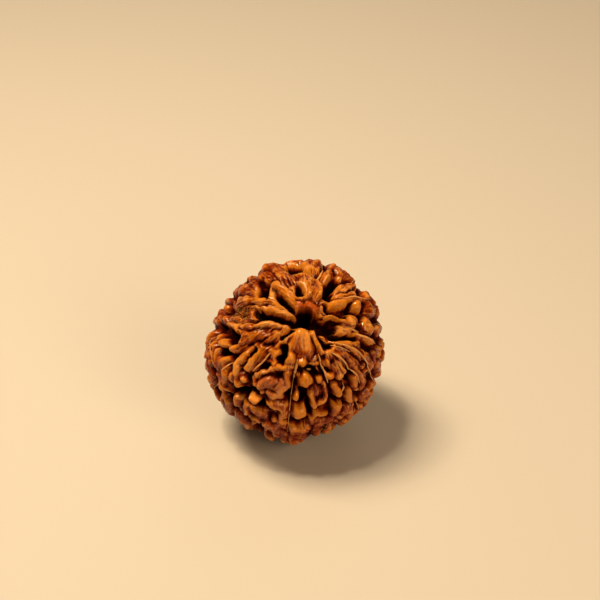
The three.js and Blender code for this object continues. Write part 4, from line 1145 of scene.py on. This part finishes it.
def seed_stone_finish():
    """Orange-brown on the crests, red-brown on the slopes and nearly black in the pits, which is partly
    painted highlight and painted shade, with streaks that run away from the hole and an oiled gloss."""
    paint = Paint("oiled seed stone")
    marks = {key: paint.attribute(key) for key in ["height", "fibrous", *BLURS, *FINISH_PATCHES]}
    flow = paint.attribute("flow", "Vector")
    fibrous = marks["fibrous"]
    rugged = paint.line(marks["smooth"], RUGGED_BY_SMOOTH) * paint.line(fibrous, RUGGED_BY_FIBROUS)
    grain = paint.noise(*GRAIN)
    mottle = paint.noise(*MOTTLE)
    streak = paint.noise(*STREAK, flow) * paint.line(fibrous, STREAK_BY_FIBROUS) * rugged
    vein = paint.cover(abs(paint.noise(*VEIN, flow)), VEIN_LINE) * fibrous * rugged
    crest = paint.cover(marks["height"], CREST_LINE)
    marks.update(grain=grain, mottle=mottle, streak=streak, vein=vein, crest=crest)
    marks["blotch"] = paint.noise(*BLOTCH)
    marks["pore"] = paint.cover(paint.noise(*PORE, flow), PORE_LINE) * rugged
    marks["sunk"] = paint.cover(marks["height"], SUNK_LINE)
    marks["crease"] *= rugged
    # The tone: the stone's own colour, with painted shade in pits, hollows and creases and painted highlight
    # on the crests
    tone = paint.total(TONE_START, TONE_ADDED, marks)
    raised = paint.cover(tone, RAISED_LINE)
    # Where the surface stands above its blur, on the rounded middles of the warts: the place of a painted
    # highlight
    bulge_highlight = paint.cover(marks["stain"], BULGE_HIGHLIGHT_LINE)
    speck = paint.line(crest, SPECK_BY_CREST) * paint.line(grain, SPECK_BY_GRAIN)
    # Pale flecks are partly scuffs and partly painted glints; the pale spots are painted sheen
    covers = {
        "scuff_and_glint": paint.cover(paint.noise(*SCUFF_AND_GLINT, flow), SCUFF_AND_GLINT_LINE) * raised * rugged,
        "warm": paint.clamp(marks["warm"] * bulge_highlight * paint.line(streak, WARM_BY_STREAK)),
        "pale": marks["pale"] * raised * paint.line(streak, SHEEN_BY_STREAK),
        "worn": marks["worn"] * raised * paint.line(mottle, WORN_BY_MOTTLE),
        "lip": marks["lip"],
        "speck": marks["grainy"] * speck,
    }
    colour = paint.ramp(tone, TONES)
    for key, (most, overlay) in OVERLAYS.items():
        colour = paint.mix(paint.clamp(covers[key] * most), colour, overlay)
    rough = paint.total(0.0, BUMP_ADDED, marks)
    sockets = {"Strength": BUMP_STRENGTH, "Distance": BUMP_DISTANCE, "Height": rough}
    bump = paint.node("ShaderNodeBump", {}, sockets, "Normal")
    roughness = paint.line(raised, ROUGHNESS_BY_RAISED) + paint.line(grain, ROUGHNESS_BY_GRAIN)
    coat = paint.line(raised, COAT_BY_RAISED)
    paint.finish(**OIL)
    return paint.finish(Base_Color=colour, Roughness=paint.clamp(roughness), Normal=bump, Coat_Weight=coat)


def fibre_finish():
    """Pale straw fibre, darker in streaks."""
    paint = Paint("seam fibre")
    colour = paint.mix(paint.noise(*FIBRE_STREAK) + NOISE_MIDDLE, *FIBRE_COLOURS)
    return paint.finish(Base_Color=colour, Roughness=FIBRE_ROUGHNESS)


def floor_finish():
    """One plain pale colour."""
    return Paint("pale floor").finish(Base_Color=FLOOR_COLOUR, Roughness=FLOOR_ROUGHNESS)


def area_light(name, place, size, power, colour):
    """A square soft light at a place, in millimetres, that faces the bead's middle."""
    lamp = bpy.data.lights.new(name, "AREA")
    lamp.size = size * MM
    lamp.energy = power
    lamp.color = colour
    light = bpy.data.objects.new(name, lamp)
    light.location = Vector(place) * MM
    ray = Vector((0, 0, MIDDLE_HEIGHT)) - Vector(place)
    light.rotation_euler = ray.to_track_quat("-Z", "Y").to_euler()
    bpy.context.scene.collection.objects.link(light)


def photo_camera():
    """The camera stands where the face map is seen from, and aims a little above and right of the bead."""
    middle = np.array([0.0, 0.0, MIDDLE_HEIGHT])
    place = Vector(middle + to_viewer * VIEW_DISTANCE) * MM
    aim = Vector(middle + AIM_RIGHT * view_right + AIM_UP * view_up) * MM
    lens = bpy.data.cameras.new("photo camera")
    lens.lens = lens.sensor_width * VIEW_DISTANCE / FRAME_WIDTH
    lens.clip_start = NEAREST_SEEN * MM
    camera = bpy.data.objects.new("photo camera", lens)
    camera.location = place
    camera.rotation_euler = (aim - place).to_track_quat("-Z", "Y").to_euler()
    bpy.context.scene.collection.objects.link(camera)
    bpy.context.scene.camera = camera


bead = bead_stone(seed_stone_finish())
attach(bead, "root")
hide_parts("bead")

fibres = seam_fibres(fibre_finish())
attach(fibres, "root")

bpy.ops.mesh.primitive_plane_add(size=FLOOR_SIZE)
floor = bpy.context.object
floor.name = "floor"
floor.data.materials.append(floor_finish())

for settings in LIGHTS:
    area_light(*settings)
world = bpy.data.worlds.new("soft room")
world.use_nodes = True
background = world.node_tree.nodes["Background"]
background.inputs["Color"].default_value = ROOM_COLOUR
background.inputs["Strength"].default_value = ROOM_STRENGTH
bpy.context.scene.world = world
bpy.context.scene.view_settings.view_transform = "Standard"
photo_camera()
